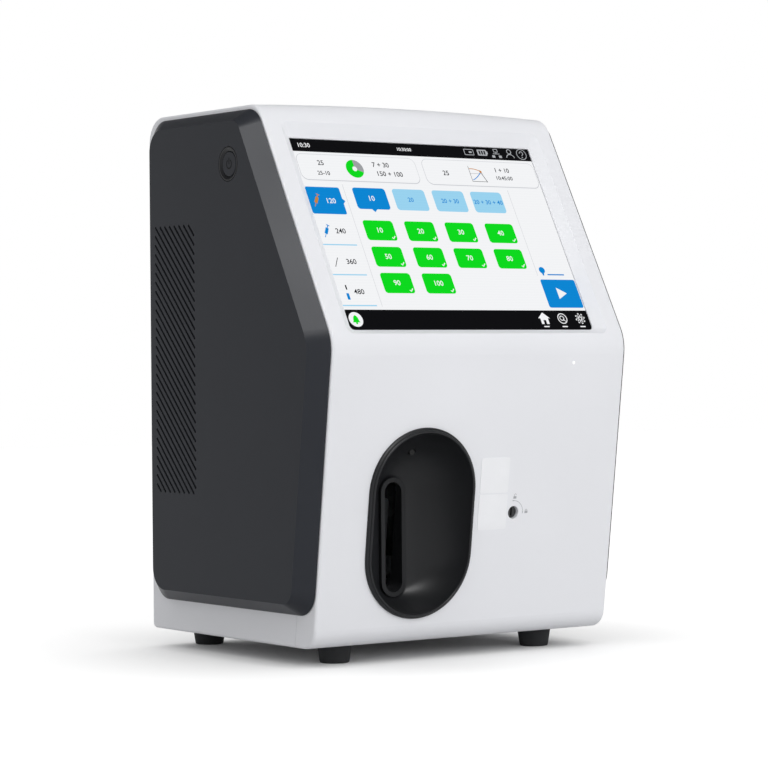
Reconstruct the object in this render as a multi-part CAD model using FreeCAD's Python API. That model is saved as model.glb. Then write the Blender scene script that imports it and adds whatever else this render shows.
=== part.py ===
import FreeCAD, Part
import math
import os

# Bench-top blood gas analyzer. Lengths are in millimetres, angles in degrees.
# X runs to the user's right, Y to the back and Z up. The origin is on the table, under the
# middle of the box around the whole analyzer.

Vector = FreeCAD.Vector
TO_RIGHT = Vector(1, 0, 0)
TO_LEFT = Vector(-1, 0, 0)
TO_BACK = Vector(0, 1, 0)
TO_FRONT = Vector(0, -1, 0)
UP = Vector(0, 0, 1)
DOWN = Vector(0, 0, -1)
QUARTER_TURN = 90.0
HALF_TURN = 180.0
FULL_TURN = 360.0
SAME_POINT = 1e-6

# Cuts run past what they cut by this much.
OVERRUN = 2.0

# Housing: a wedge-fronted box whose lower front face leans in and whose upper one leans back
BODY_WIDTH = 250.0
BODY_DEPTH = 232.0
BODY_HEIGHT = 365.7
BEND_HEIGHT = 204.1
LOWER_LEAN = 26.2
UPPER_LEAN = 88.3
TOP_CROWN = 2.8
HOUSING_WALL = 3.0
BOTTOM_EDGE_RADIUS = 14.0
BEND_RADIUS = 30.0
TOP_EDGE_RADIUS = 18.0
REAR_EDGE_RADIUS = 4.0
SIDE_EDGE_RADIUS = 2.0
SEAM_SETBACK = 21.6
SEAM_GAP = 0.3

# Feet and their screws
FOOT_HEIGHT = 13.0
FOOT_TOP_RADIUS = 12.0
FOOT_TREAD_RADIUS = 10.0
FOOT_EDGE_RADIUS = 1.0
FOOT_SPACING = 172.8
FOOT_FRONT_SETBACK = 57.8
FOOT_REAR_MARGIN = 15.0
FOOT_SCREW_RADIUS = 2.0
FOOT_SCREW_CLEARANCE = 0.2
FOOT_SCREW_HEAD_RADIUS = 4.0
FOOT_SCREW_HEAD_HEIGHT = 2.5
FOOT_SCREW_RECESS = 4.0
FOOT_SCREW_TAIL = 2.5

# Display: a 10.4 inch panel behind a cover glass, at the bottom of a bevelled recess
SCREEN_WIDTH = 208.0
SCREEN_HEIGHT = 150.0
SCREEN_ABOVE_BEND = 11.3
SCREEN_TOP_CORNER = 1.0
SCREEN_FOOT_CORNER = 3.5
BEVEL_DEPTH = 5.5
BEVEL_SIDE = 7.5
BEVEL_TOP = 9.7
BEVEL_FOOT = 6.0
BEVEL_CORNER = 6.0
SURROUND_LIP = 0.8
SURROUND_MARGIN = 2.5
GLASS_LAP = 4.0
GLASS_THICKNESS = 1.8
LCD_LAP = 3.0
LCD_THICKNESS = 6.5
FRAME_SHEET = 1.5
FRAME_REACH = 17.0
FRAME_WINDOW_INSET = 22.0
FRAME_POST_RADIUS = 2.8
FRAME_POST_INSET = 3.6
FRAME_POST_END_INSET = 22.0
FRAME_SCREW_RADIUS = 1.2
FRAME_SCREW_HEAD_RADIUS = 2.4
FRAME_SCREW_HEAD_HEIGHT = 1.6
FRAME_SCREW_BITE = 6.0
DISPLAY_BOARD_WIDTH = 120.0
DISPLAY_BOARD_HEIGHT = 84.0
DISPLAY_BOARD_THICKNESS = 1.6
DISPLAY_SPACER_HEIGHT = 3.0
DISPLAY_SPACER_RADIUS = 3.0
DISPLAY_SPACER_INSET = 6.0

# Status lamp under the screen
LAMP_X = 78.9
LAMP_BELOW_BEND = 15.8
LAMP_RADIUS = 1.1
LAMP_PROUD = 0.3
LAMP_FLANGE_RADIUS = 2.4
LAMP_TAIL = 5.0
LAMP_CLEARANCE = 0.1

# Sample port: an oval bowl that narrows to a slot with a raised collar, whose face stands upright
PORT_X = -44.4
PORT_BELOW_BEND = 123.9
PORT_HALF_WIDTH = 43.9
PORT_HALF_HEIGHT = 65.2
PORT_RIM_PROUD = 2.5
PORT_RIM_RADIUS = 1.6
PORT_RIM_LAP = 1.5
PORT_RIM_WIDTH = 3.4
PORT_HOLE_CLEARANCE = 0.3
PORT_SKIN = 1.5
COLLAR_BELOW_BEND = 138.6
COLLAR_HALF_WIDTH = 10.2
COLLAR_HALF_HEIGHT = 40.4
COLLAR_SETBACK = 32.1
COLLAR_PROUD = 3.0
COLLAR_TUBE = 10.4
SLOT_HALF_WIDTH = 7.0
SLOT_HALF_HEIGHT = 37.3
BOWL_DEPTH_SHARES = (0.0, 0.45, 0.78, 1.0)
BOWL_INSET_SHARES = (0.0, 0.22, 0.55, 1.0)
PORT_LAMP_OFFSET_X = 8.3
PORT_LAMP_OFFSET_UP = 44.4
PORT_LAMP_RADIUS = 2.2
PORT_LAMP_SETBACK = 25.6
PORT_LAMP_LENGTH = 9.0
PORT_LAMP_CLEARANCE = 0.1

# Blank self-adhesive labels beside the port
LABEL_SIZE = 24.5
LABEL_THICKNESS = 0.25
LABEL_CORNER = 1.5
LABEL_X = 16.6
LABEL_TOP_BELOW_BEND = 93.2
LABEL_PITCH = 25.4

# Sampler: an arm that swings the sampling tube out through the slot
ARM_PIVOT_BELOW_BEND = 168.0
ARM_PIVOT_SETBACK = 48.0
ARM_LENGTH = 54.0
ARM_THICKNESS = 9.0
ARM_CORNER = 3.0
ARM_HUB_RADIUS = 7.0
NEEDLE_RADIUS = 0.9
NEEDLE_BORE = 0.4
NEEDLE_REACH = 8.0
NEEDLE_START = 9.0
NEEDLE_CLEARANCE = 0.05
ARM_SHAFT_RADIUS = 3.0
SHAFT_FIT = 0.05
SHAFT_END = 2.0
EAR_SHEET = 3.0
EAR_GAP = 26.0
EAR_MARGIN = 12.0
EAR_CORNER = 6.0
BRACKET_FOOT = 14.0
GEAR_MODULE = 1.0
ARM_GEAR_TEETH = 40
MOTOR_GEAR_TEETH = 18
GEAR_WIDTH = 6.0
GEAR_SPACE = 1.0
GEAR_BACKLASH = 0.2
PRESSURE_ANGLE = 20.0
ROOT_SHARE = 1.25
FLANK_SHARES = (0.0, 0.25, 0.5, 0.75, 1.0)
GEAR_HUB_RADIUS = 7.5
ARM_GEAR_FIRST_ANGLE = -155.0
ARM_GEAR_LAST_ANGLE = -75.0
SAMPLER_MOTOR_SIZE = 28.0
SAMPLER_MOTOR_LENGTH = 31.0
SAMPLER_MOTOR_CORNER = 3.0
MOTOR_SHAFT_RADIUS = 2.5
MOTOR_SHAFT_DEPTH = 12.0

# Door lock: a key core whose pinion drives a sliding bolt
LOCK_X = 34.9
LOCK_BELOW_BEND = 119.6
LOCK_CORE_RADIUS = 4.1
LOCK_BODY_RADIUS = 8.0
LOCK_BODY_LENGTH = 20.0
LOCK_FACE_SETBACK = 2.4
LOCK_FIT = 0.05
LOCK_HOLE_CLEARANCE = 0.4
KEYWAY_WIDTH = 1.3
KEYWAY_HEIGHT = 5.6
KEYWAY_DEPTH = 8.0
LOCK_MODULE = 0.75
LOCK_GEAR_TEETH = 16
LOCK_GEAR_WIDTH = 6.0
LOCK_GEAR_SPACE = 1.0
BOLT_HEIGHT = 5.0
BOLT_CLEARANCE = 0.3
BOLT_TAIL = 12.0
BOLT_WALL_GAP = 0.5
RACK_LENGTH = 34.0
BOLT_GUIDE_LENGTH = 9.0
BOLT_GUIDE_WALL = 3.0
CATCH_WALL = 2.5
CATCH_GAP = 1.2
CATCH_DEPTH = 7.5

# Side covers: dished panels that stand proud of the housing's two sides
COVER_PROUD = 14.1
COVER_GAP = 0.6
COVER_WALL = 2.5
COVER_FRONT_MARGIN = 1.2
COVER_TOP_MARGIN = 3.1
COVER_BOTTOM_MARGIN = 22.1
COVER_REAR_MARGIN = 6.0
COVER_CHAMFER = 8.3
COVER_REAR_CHAMFER = 18.5
DOOR_FRONT_CHAMFER = 18.5
COVER_CORNER = 18.0
COVER_FLAT_CORNER = 11.0
COVER_REAR_CORNER = 15.0
COVER_SEAT_INSET = 2.2
COVER_SEAT_WIDTH = 2.0
COVER_BOSS_RADIUS = 4.0
COVER_BOSS_INSET = 26.0
COVER_SCREW_RADIUS = 1.5
COVER_SCREW_HEAD_RADIUS = 3.0
COVER_SCREW_HEAD_HEIGHT = 2.0
COVER_SCREW_BITE = 6.0
COVER_SCREW_CLEARANCE = 0.2

# Vent field in the left cover: slanted slots, cut off square at the field's edges
VENT_FRONT_SETBACK = 148.0
VENT_WIDTH = 53.0
VENT_FOOT_HEIGHT = 99.0
VENT_HEIGHT = 187.6
VENT_PITCH = 6.48
VENT_SLOPE = 45.8
VENT_SLOT_WIDTH = 1.8
SIDE_INTAKE_INSET = 6.0

# Power button in the left cover
BUTTON_SETBACK = 104.0
BUTTON_HEIGHT = 325.2
BUTTON_RING_RADIUS = 11.5
BUTTON_RING_BORE = 8.9
BUTTON_RING_MOUTH = 10.6
BUTTON_RING_SLOPE_DEPTH = 1.2
BUTTON_RING_DEPTH = 5.0
BUTTON_FLANGE_RADIUS = 14.0
BUTTON_FLANGE_THICKNESS = 1.5
BUTTON_RADIUS = 8.6
BUTTON_RECESS = 0.9
BUTTON_EDGE_RADIUS = 0.6
BUTTON_COLLAR_RADIUS = 10.2
BUTTON_COLLAR_THICKNESS = 1.2
BUTTON_COLLAR_GAP = 0.3
BUTTON_STEM_RADIUS = 2.5
BUTTON_TRAVEL = 1.5
BUTTON_GROOVE = 0.5
SWITCH_SIZE = 12.0
SWITCH_THICKNESS = 3.8
PLUNGER_RADIUS = 2.0
PLUNGER_PROUD = 1.8
PLUNGER_SEAT = 1.0
PLUNGER_FIT = 0.08
PLUNGER_FLOOR_GAP = 0.2

# Service door: the right cover, hung on two knuckle hinges at its rear edge
HINGE_STAND = 6.2
HINGE_BARREL_RADIUS = 5.2
HINGE_REAR_MARGIN = 14.2
HINGE_PIN_RADIUS = 2.0
HINGE_PIN_FIT = 0.05
HINGE_PIN_SEAT = 0.02
HINGE_LENGTH = 22.0
HINGE_KNUCKLE = 10.0
HINGE_END_GAP = 0.4
HINGE_INSET = 62.0
HINGE_LEAF = 4.0
HINGE_NOTCH = 9.4
DOOR_SWING_GAP = 0.4

# Service bay behind the door, and the reagent cartridge in it
BAY_FRONT_SETBACK = 51.0
BAY_DEPTH = 66.0
BAY_SILL = 9.0
BAY_HEIGHT = 160.0
BAY_CORNER = 5.0
CARTRIDGE_GAP = 1.5
CARTRIDGE_LENGTH = 94.0
CARTRIDGE_CORNER = 4.0
CARTRIDGE_GRIP_WIDTH = 40.0
CARTRIDGE_GRIP_HEIGHT = 22.0
CARTRIDGE_GRIP_DEPTH = 14.0
TRAY_SHEET = 2.0
TRAY_RAIL_HEIGHT = 9.0
CARTRIDGE_FIT = 0.3

# Chassis: a folded tray and an upright wall
CHASSIS_SHEET = 1.5
CHASSIS_SIDE_GAP = 3.0
CHASSIS_FRONT_SETBACK = 46.0
CHASSIS_REAR_GAP = 8.0
CHASSIS_FLANGE = 8.0
WALL_SETBACK = 121.0
WALL_HEIGHT = 318.0
WALL_FOOT = 12.0
WALL_SIDE_GAP = 8.0

# Electronics
SUPPLY_WIDTH = 92.0
SUPPLY_REAR_GAP = 29.5
SUPPLY_HEIGHT = 40.0
SUPPLY_SIDE_GAP = 8.0
SUPPLY_WALL_GAP = 12.0
SUPPLY_SLOT = 3.0
SUPPLY_SLOT_PITCH = 8.0
SUPPLY_SLOT_COUNT = 7
SUPPLY_SLOT_DEPTH = 1.5
BOARD_WIDTH = 116.0
BOARD_HEIGHT = 190.0
BOARD_THICKNESS = 1.6
BOARD_FOOT_HEIGHT = 96.0
BOARD_LEFT_X = -18.0
BOARD_SPACER = 6.0
BOARD_SPACER_RADIUS = 3.0
BOARD_SPACER_INSET = 7.0
BOARD_SCREW_RADIUS = 1.4
CHIP_SIZE = 32.0
CHIP_HEIGHT = 3.0

# Rear panel and connector panel: two steel plates, one above the other, set into the housing's rear wall
PANEL_SHEET = 1.5
PANEL_LAP = 8.0
PANEL_SIDE_MARGIN = 16.0
PANEL_FOOT_MARGIN = 22.0
PANEL_TOP_MARGIN = 26.0
PANEL_CORNER = 6.0
PANEL_FIT = 0.3
PANEL_SCREW_RADIUS = 1.5
PANEL_SCREW_HEAD_RADIUS = 3.0
PANEL_SCREW_HEAD_HEIGHT = 1.3
PANEL_SCREW_LENGTH = 4.5
PANEL_SCREW_CLEARANCE = 0.15
PANEL_SCREW_INSET = 4.2
PANEL_SPLIT_HEIGHT = 80.0
GRILLE_SLOT = 3.0
GRILLE_PITCH = 6.0

# Fan on the rear panel
FAN_SIZE = 80.0
FAN_DEPTH = 25.0
FAN_X = 58.0
FAN_HEIGHT = 268.0
FAN_BORE_RADIUS = 38.0
FAN_HUB_RADIUS = 16.0
FAN_TIP_GAP = 1.0
FAN_BLADES = 7
FAN_BLADE_THICKNESS = 1.4
FAN_BLADE_PITCH = 38.0
FAN_ROTOR_DEPTH = 16.0
FAN_STATOR_SHEET = 3.0
FAN_STRUT_WIDTH = 5.0
FAN_CORNER = 6.0
FAN_HOLE_RADIUS = 2.2
FAN_HOLE_INSET = 4.3
FAN_PIN_RADIUS = 3.0
FAN_PIN_FIT = 0.05

# Mains inlet and data sockets in the connector panel
INLET_X = -72.0
INLET_HEIGHT = 50.0
INLET_WIDTH = 27.0
INLET_TALL = 20.0
INLET_FLANGE = 5.0
INLET_FLANGE_SHEET = 1.2
INLET_DEPTH = 22.0
INLET_WALL = 1.8
INLET_CAVITY = 16.0
INLET_PIN_WIDTH = 4.0
INLET_PIN_THICKNESS = 2.0
INLET_PIN_LENGTH = 12.0
INLET_PIN_SPACING = 14.0
INLET_PIN_RISE = 3.5
SOCKET_X = 16.0
SOCKET_HEIGHT = 50.0
SOCKET_PITCH = 20.0
SOCKET_OUTER = 16.0
SOCKET_TALL = 14.0
SOCKET_DEPTH = 18.0
SOCKET_WALL = 2.0
SOCKET_CAVITY = 14.0
SOCKET_COUNT = 3
SOCKET_CARRIER = 3.0
SOCKET_FIT = 0.2

# Fluid side: tubing pump, valves and measuring cell
PUMP_X = -72.0
PUMP_HEIGHT = 236.0
PUMP_SIZE = 52.0
PUMP_DEPTH = 31.0
PUMP_CAVITY_DEPTH = 15.0
PUMP_CORNER = 5.0
PUMP_ROLLER_RADIUS = 4.5
PUMP_ROLLER_CIRCLE = 11.0
PUMP_ROLLER_COUNT = 3
PUMP_ROLLER_LENGTH = 9.0
PUMP_DISC_RADIUS = 13.0
PUMP_DISC_THICKNESS = 2.0
PUMP_HUB_RADIUS = 5.0
PUMP_TUBE_RADIUS = 1.9
PUMP_TUBE_BORE = 0.9
PUMP_TUBE_GAP = 0.4
PUMP_TUBE_SEAT = 0.3
PUMP_MOTOR_RADIUS = 17.0
PUMP_MOTOR_LENGTH = 34.0
PUMP_SHAFT_RADIUS = 2.0
CELL_X = 62.0
CELL_HEIGHT = 222.0
CELL_WIDTH = 78.0
CELL_TALL = 42.0
CELL_DEPTH = 38.0
CELL_CORNER = 3.0
CHANNEL_RADIUS = 0.8
SENSOR_COUNT = 6
SENSOR_RADIUS = 4.0
SENSOR_FIT = 0.1
SENSOR_PITCH = 11.5
SENSOR_LENGTH = 13.0
SENSOR_BITE = 8.0
VALVE_BLOCK_WIDTH = 46.0
VALVE_BLOCK_TALL = 18.0
VALVE_BLOCK_DEPTH = 30.0
VALVE_COUNT = 3
VALVE_RADIUS = 6.5
VALVE_LENGTH = 20.0
VALVE_PITCH = 14.5
LINE_RADIUS = 1.2
LINE_BEND = 6.0
LINE_DROP = 15.0
LINE_STEP = 13.0
LINE_REACH = 11.0
LINE_TO_BAY_DROP = 42.0

# Places that follow from the sizes above
FRONT_Y = -BODY_DEPTH / 2
REAR_Y = BODY_DEPTH / 2
SIDE_X = BODY_WIDTH / 2
FLOOR_Z = FOOT_HEIGHT
BEND_Z = FLOOR_Z + BEND_HEIGHT
TOP_Z = FLOOR_Z + BODY_HEIGHT
LOWER_ANGLE = math.degrees(math.atan2(LOWER_LEAN, BEND_HEIGHT))
UPPER_ANGLE = math.degrees(math.atan2(UPPER_LEAN, BODY_HEIGHT - BEND_HEIGHT))
INSIDE_X = SIDE_X - HOUSING_WALL
COVER_X = SIDE_X + COVER_PROUD
TRAY_Z = FLOOR_Z + HOUSING_WALL
DECK_Z = TRAY_Z + CHASSIS_SHEET
GLASS_FACE = -(BEVEL_DEPTH + SURROUND_LIP)
LCD_FACE = GLASS_FACE - GLASS_THICKNESS
FRAME_FACE = LCD_FACE - LCD_THICKNESS
SCREEN_MIDDLE = SCREEN_ABOVE_BEND + SCREEN_HEIGHT / 2
COLLAR_FACE = COLLAR_PROUD - COLLAR_SETBACK
COLLAR_END = COLLAR_FACE - COLLAR_TUBE
LOCK_GEAR_RADIUS = LOCK_MODULE * LOCK_GEAR_TEETH / 2
BAY_FOOT_Z = FLOOR_Z + COVER_BOTTOM_MARGIN + BAY_SILL
BAY_TOP_Z = BAY_FOOT_Z + BAY_HEIGHT
CARTRIDGE_X = INSIDE_X - CARTRIDGE_GAP - CARTRIDGE_LENGTH
PUMP_TUBE_CIRCLE = PUMP_ROLLER_CIRCLE + PUMP_ROLLER_RADIUS + PUMP_TUBE_GAP + PUMP_TUBE_RADIUS
CELL_Z = FLOOR_Z + CELL_HEIGHT
SWITCH_FACE_X = -(SIDE_X + SWITCH_THICKNESS)
GEAR_DISTANCE = GEAR_MODULE * (ARM_GEAR_TEETH + MOTOR_GEAR_TEETH) / 2
WALL_FACE_Y = FRONT_Y + WALL_SETBACK
WALL_BACK_Y = WALL_FACE_Y + CHASSIS_SHEET
PANEL_Y = REAR_Y - PANEL_SHEET
PANEL_SPLIT_Z = FLOOR_Z + PANEL_SPLIT_HEIGHT
HINGE_X = SIDE_X + HINGE_STAND
HINGE_Y = REAR_Y - HINGE_REAR_MARGIN


# Drawing helpers

def around(middle, size):
    """The two ends of a span of this size about its middle."""
    return (middle - size / 2, middle + size / 2)


def block(x, y, z):
    """A box between the two values given for each direction."""
    return Part.makeBox(x[1] - x[0], y[1] - y[0], z[1] - z[0], Vector(x[0], y[0], z[0]))


def rod(start, direction, radius, length):
    """A round bar from a point along a direction."""
    return Part.makeCylinder(radius, length, start, direction)


def pipe(start, direction, radius, bore, length):
    """A round bar with a bore right through it."""
    past = direction * OVERRUN
    return rod(start, direction, radius, length).cut(rod(start - past, direction, bore, length + 2 * OVERRUN))


def at_x(x):
    """Lifts a flat (y, z) point to a side plane."""
    return lambda y, z: Vector(x, y, z)


def at_y(y):
    """Lifts a flat (x, z) point to a plane across the depth."""
    return lambda x, z: Vector(x, y, z)


def at_z(z):
    """Lifts a flat (x, y) point to a level."""
    return lambda x, y: Vector(x, y, z)


def outline(points, radii, lift):
    """A closed wire through corner points, each rounded by an arc of its own radius."""
    enters = []
    middles = []
    leaves = []
    for index, radius in enumerate(radii):
        corner = Vector(*points[index], 0)
        back = (Vector(*points[index - 1], 0) - corner).normalize()
        ahead = (Vector(*points[(index + 1) % len(points)], 0) - corner).normalize()
        half = back.getAngle(ahead) / 2
        enters.append(corner + back * (radius / math.tan(half)))
        leaves.append(corner + ahead * (radius / math.tan(half)))
        middles.append(corner + (back + ahead).normalize() * (radius / math.sin(half) - radius))
    edges = []
    for index, radius in enumerate(radii):
        start = leaves[index - 1]
        if start.distanceToPoint(enters[index]) > SAME_POINT:
            edges.append(Part.LineSegment(lift(start.x, start.y), lift(enters[index].x, enters[index].y)).toShape())
        if radius > 0:
            stops = [lift(stop.x, stop.y) for stop in (enters[index], middles[index], leaves[index])]
            edges.append(Part.Arc(*stops).toShape())
    return Part.Wire(edges)


def rounded(x, y, radius, lift):
    """A rectangle with equal rounded corners."""
    corners = [(x[0], y[0]), (x[1], y[0]), (x[1], y[1]), (x[0], y[1])]
    return outline(corners, [radius] * len(corners), lift)


def oval(middle, half_width, half_height, lift):
    """An upright slot shape: straight sides and half-round ends."""
    return rounded(around(middle[0], 2 * half_width), around(middle[1], 2 * half_height), half_width, lift)


def prism(wire, reach):
    """The solid that a flat closed wire sweeps along a straight reach."""
    return Part.Face(wire).extrude(reach)


def slab(x, y, z, radius):
    """An upright plate seen from above or in a face frame, with rounded corners."""
    return prism(rounded(x, y, radius, at_z(z[0])), UP * (z[1] - z[0]))


def inset(points, amounts):
    """The corners left when each side of an outline moves inwards by its own amount."""
    count = len(points)
    area = sum(points[i][0] * points[(i + 1) % count][1] - points[(i + 1) % count][0] * points[i][1]
               for i in range(count))
    turn = math.copysign(1, area)
    lines = []
    for index, amount in enumerate(amounts):
        start = Vector(*points[index], 0)
        along = (Vector(*points[(index + 1) % count], 0) - start).normalize()
        lines.append((start + Vector(-along.y, along.x, 0) * (turn * amount), along))
    moved = []
    for index, (start, along) in enumerate(lines):
        other, heading = lines[index - 1]
        gap = start - other
        share = (gap.x * along.y - gap.y * along.x) / (heading.x * along.y - heading.y * along.x)
        corner = other + heading * share
        moved.append((corner.x, corner.y))
    return moved


def ruled(foot_wire, top_wire):
    """The solid between two matching wires, its sides ruled edge by edge."""
    sides = [Part.makeRuledSurface(low, high) for low, high in zip(foot_wire.Edges, top_wire.Edges)]
    skin = Part.makeShell([Part.Face(foot_wire), Part.Face(top_wire)] + sides)
    skin.sewShape()
    return Part.makeSolid(skin)


def on_face(shape, angle):
    """Puts a shape drawn as x across, y up the face and z out of it onto a face through the bend."""
    spot = FreeCAD.Placement(Vector(0, FRONT_Y, BEND_Z), FreeCAD.Rotation(TO_RIGHT, angle))
    moved = shape.copy()
    moved.Placement = spot.multiply(moved.Placement)
    return moved


def on_lower(shape):
    """Onto the lower front face."""
    return on_face(shape, QUARTER_TURN + LOWER_ANGLE)


def on_upper(shape):
    """Onto the upper front face, the one with the screen."""
    return on_face(shape, QUARTER_TURN - UPPER_ANGLE)


def lower_point(x, below_bend, setback):
    """Where a spot on or behind the lower front face lies in space."""
    spot = FreeCAD.Placement(Vector(0, FRONT_Y, BEND_Z), FreeCAD.Rotation(TO_RIGHT, QUARTER_TURN + LOWER_ANGLE))
    return spot.multVec(Vector(x, -below_bend, -setback))


def involute_gear(module, teeth, width, bore, phase, backlash):
    """A spur gear about z from z = 0, with a tooth centred at the phase angle."""
    pitch = module * teeth / 2
    base = pitch * math.cos(math.radians(PRESSURE_ANGLE))
    tip = pitch + module
    root = pitch - ROOT_SHARE * module
    lean = math.tan(math.radians(PRESSURE_ANGLE)) - math.radians(PRESSURE_ANGLE)
    half_tooth = math.pi / (2 * teeth) - backlash / (2 * pitch)
    low = max(base, root)
    radii = [low + (tip - low) * share for share in FLANK_SHARES]
    flank = []
    for radius in radii:
        roll = math.sqrt(max((radius / base) ** 2 - 1, 0))
        flank.append((radius, half_tooth + lean - (roll - math.atan(roll))))
    side = [(root, flank[0][1])] + flank
    points = []
    for tooth in range(teeth):
        centre = math.radians(phase) + 2 * math.pi * tooth / teeth
        for radius, angle in side:
            points.append(Vector(radius * math.cos(centre - angle), radius * math.sin(centre - angle), 0))
        for radius, angle in reversed(side):
            points.append(Vector(radius * math.cos(centre + angle), radius * math.sin(centre + angle), 0))
    blank = Part.Face(Part.makePolygon(points + points[:1])).extrude(UP * width)
    return blank.cut(rod(DOWN * OVERRUN, UP, bore, width + 2 * OVERRUN))


def rack(module, length, body, width, phase, backlash):
    """A straight rack along x whose teeth point to -y from the pitch line y = 0."""
    pitch = math.pi * module
    slope = math.tan(math.radians(PRESSURE_ANGLE))
    half = pitch / 4 - backlash / 2
    root = ROOT_SHARE * module
    count = int(length / pitch)
    start = phase - pitch * int(count / 2)
    points = [Vector(start - pitch / 2, root, 0)]
    for index in range(count):
        middle = start + index * pitch
        points.append(Vector(middle - half - root * slope, root, 0))
        points.append(Vector(middle - half + module * slope, -module, 0))
        points.append(Vector(middle + half - module * slope, -module, 0))
        points.append(Vector(middle + half + root * slope, root, 0))
    points.append(Vector(start + (count - 1 / 2) * pitch, root, 0))
    points.append(Vector(start + (count - 1 / 2) * pitch, root + body, 0))
    points.append(Vector(start - pitch / 2, root + body, 0))
    return Part.Face(Part.makePolygon(points + points[:1])).extrude(UP * width)


# Housing shells

def housing_corners(top):
    """The corners of the housing's side outline, from the front foot up and round to the rear foot."""
    run = UPPER_LEAN * (top - BEND_Z) / (TOP_Z - BEND_Z)
    return [(FRONT_Y + LOWER_LEAN, FLOOR_Z), (FRONT_Y, BEND_Z), (FRONT_Y + run, top),
            (REAR_Y, top), (REAR_Y, FLOOR_Z)]


def housing_outside():
    """The outside of the housing as one block: the side outline drawn across, under a crowned top."""
    corners = housing_corners(TOP_Z + TOP_CROWN)
    wire = outline(corners, [BOTTOM_EDGE_RADIUS, BEND_RADIUS, 0, 0, REAR_EDGE_RADIUS], at_x(-SIDE_X))
    crown_radius = (SIDE_X ** 2 + TOP_CROWN ** 2) / (2 * TOP_CROWN)
    crown_axis = Vector(0, FRONT_Y - OVERRUN, TOP_Z + TOP_CROWN - crown_radius)
    body = prism(wire, TO_RIGHT * BODY_WIDTH)
    body = body.common(rod(crown_axis, TO_BACK, crown_radius, BODY_DEPTH + 2 * OVERRUN))
    ridge = [edge for edge in body.Edges
             if edge.BoundBox.XLength > SIDE_X and edge.BoundBox.ZMin > TOP_Z - SAME_POINT]
    body = body.makeFillet(TOP_EDGE_RADIUS, ridge)
    rims = [edge for edge in body.Edges if abs(edge.BoundBox.Center.x) > SIDE_X - SAME_POINT]
    return body.makeFillet(SIDE_EDGE_RADIUS, rims)


def housing_inside():
    """The space inside the housing's walls."""
    corners = inset(housing_corners(TOP_Z), [HOUSING_WALL] * 5)
    radii = [BOTTOM_EDGE_RADIUS - HOUSING_WALL, BEND_RADIUS - HOUSING_WALL,
             TOP_EDGE_RADIUS - HOUSING_WALL, TOP_EDGE_RADIUS - HOUSING_WALL, REAR_EDGE_RADIUS - HOUSING_WALL]
    return prism(outline(corners, radii, at_x(-INSIDE_X)), TO_RIGHT * 2 * INSIDE_X)


def behind_seam(setback):
    """Everything further than the setback behind the two front faces."""
    corners = inset(housing_corners(TOP_Z), [setback, setback, -BODY_DEPTH, -BODY_DEPTH, -BODY_DEPTH])
    radii = [0, BEND_RADIUS - setback, 0, 0, 0]
    wire = outline(corners, radii, at_x(-SIDE_X - OVERRUN))
    return prism(wire, TO_RIGHT * (BODY_WIDTH + 2 * OVERRUN))


def screen_outline(side, top, foot, top_corner, foot_corner, depth):
    """The screen's rectangle grown by a margin on each side, at a depth behind the upper face."""
    x = around(0, SCREEN_WIDTH + 2 * side)
    y = (SCREEN_ABOVE_BEND - foot, SCREEN_ABOVE_BEND + SCREEN_HEIGHT + top)
    corners = [(x[0], y[0]), (x[1], y[0]), (x[1], y[1]), (x[0], y[1])]
    return outline(corners, [foot_corner, foot_corner, top_corner, top_corner], at_z(-depth))


def screen_surround():
    """The thickened frame behind the front wall, as deep as the bevelled recess and its lip."""
    margin = SURROUND_MARGIN
    wire = screen_outline(BEVEL_SIDE + margin, BEVEL_TOP + margin, BEVEL_FOOT + margin,
                          BEVEL_CORNER, BEVEL_CORNER, HOUSING_WALL / 2)
    return prism(wire, UP * (GLASS_FACE + HOUSING_WALL / 2))


def screen_recess():
    """What the bevelled recess and the window take out of the front shell."""
    mouth = screen_outline(BEVEL_SIDE, BEVEL_TOP, BEVEL_FOOT, BEVEL_CORNER, BEVEL_CORNER, 0)
    edge = screen_outline(0, 0, 0, SCREEN_TOP_CORNER, SCREEN_FOOT_CORNER, BEVEL_DEPTH)
    bevel = Part.makeLoft([mouth, edge], True, True)
    above = prism(mouth, UP * OVERRUN)
    return bevel.fuse([above, prism(edge, DOWN * (SURROUND_LIP + OVERRUN))])


def frame_post_places():
    """Where the four posts of the display frame stand, across and up the upper face."""
    across = SIDE_X - HOUSING_WALL - FRAME_POST_INSET
    ends = (SCREEN_ABOVE_BEND + FRAME_POST_END_INSET,
            SCREEN_ABOVE_BEND + SCREEN_HEIGHT - FRAME_POST_END_INSET)
    return [(x, y) for x in (-across, across) for y in ends]


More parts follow.
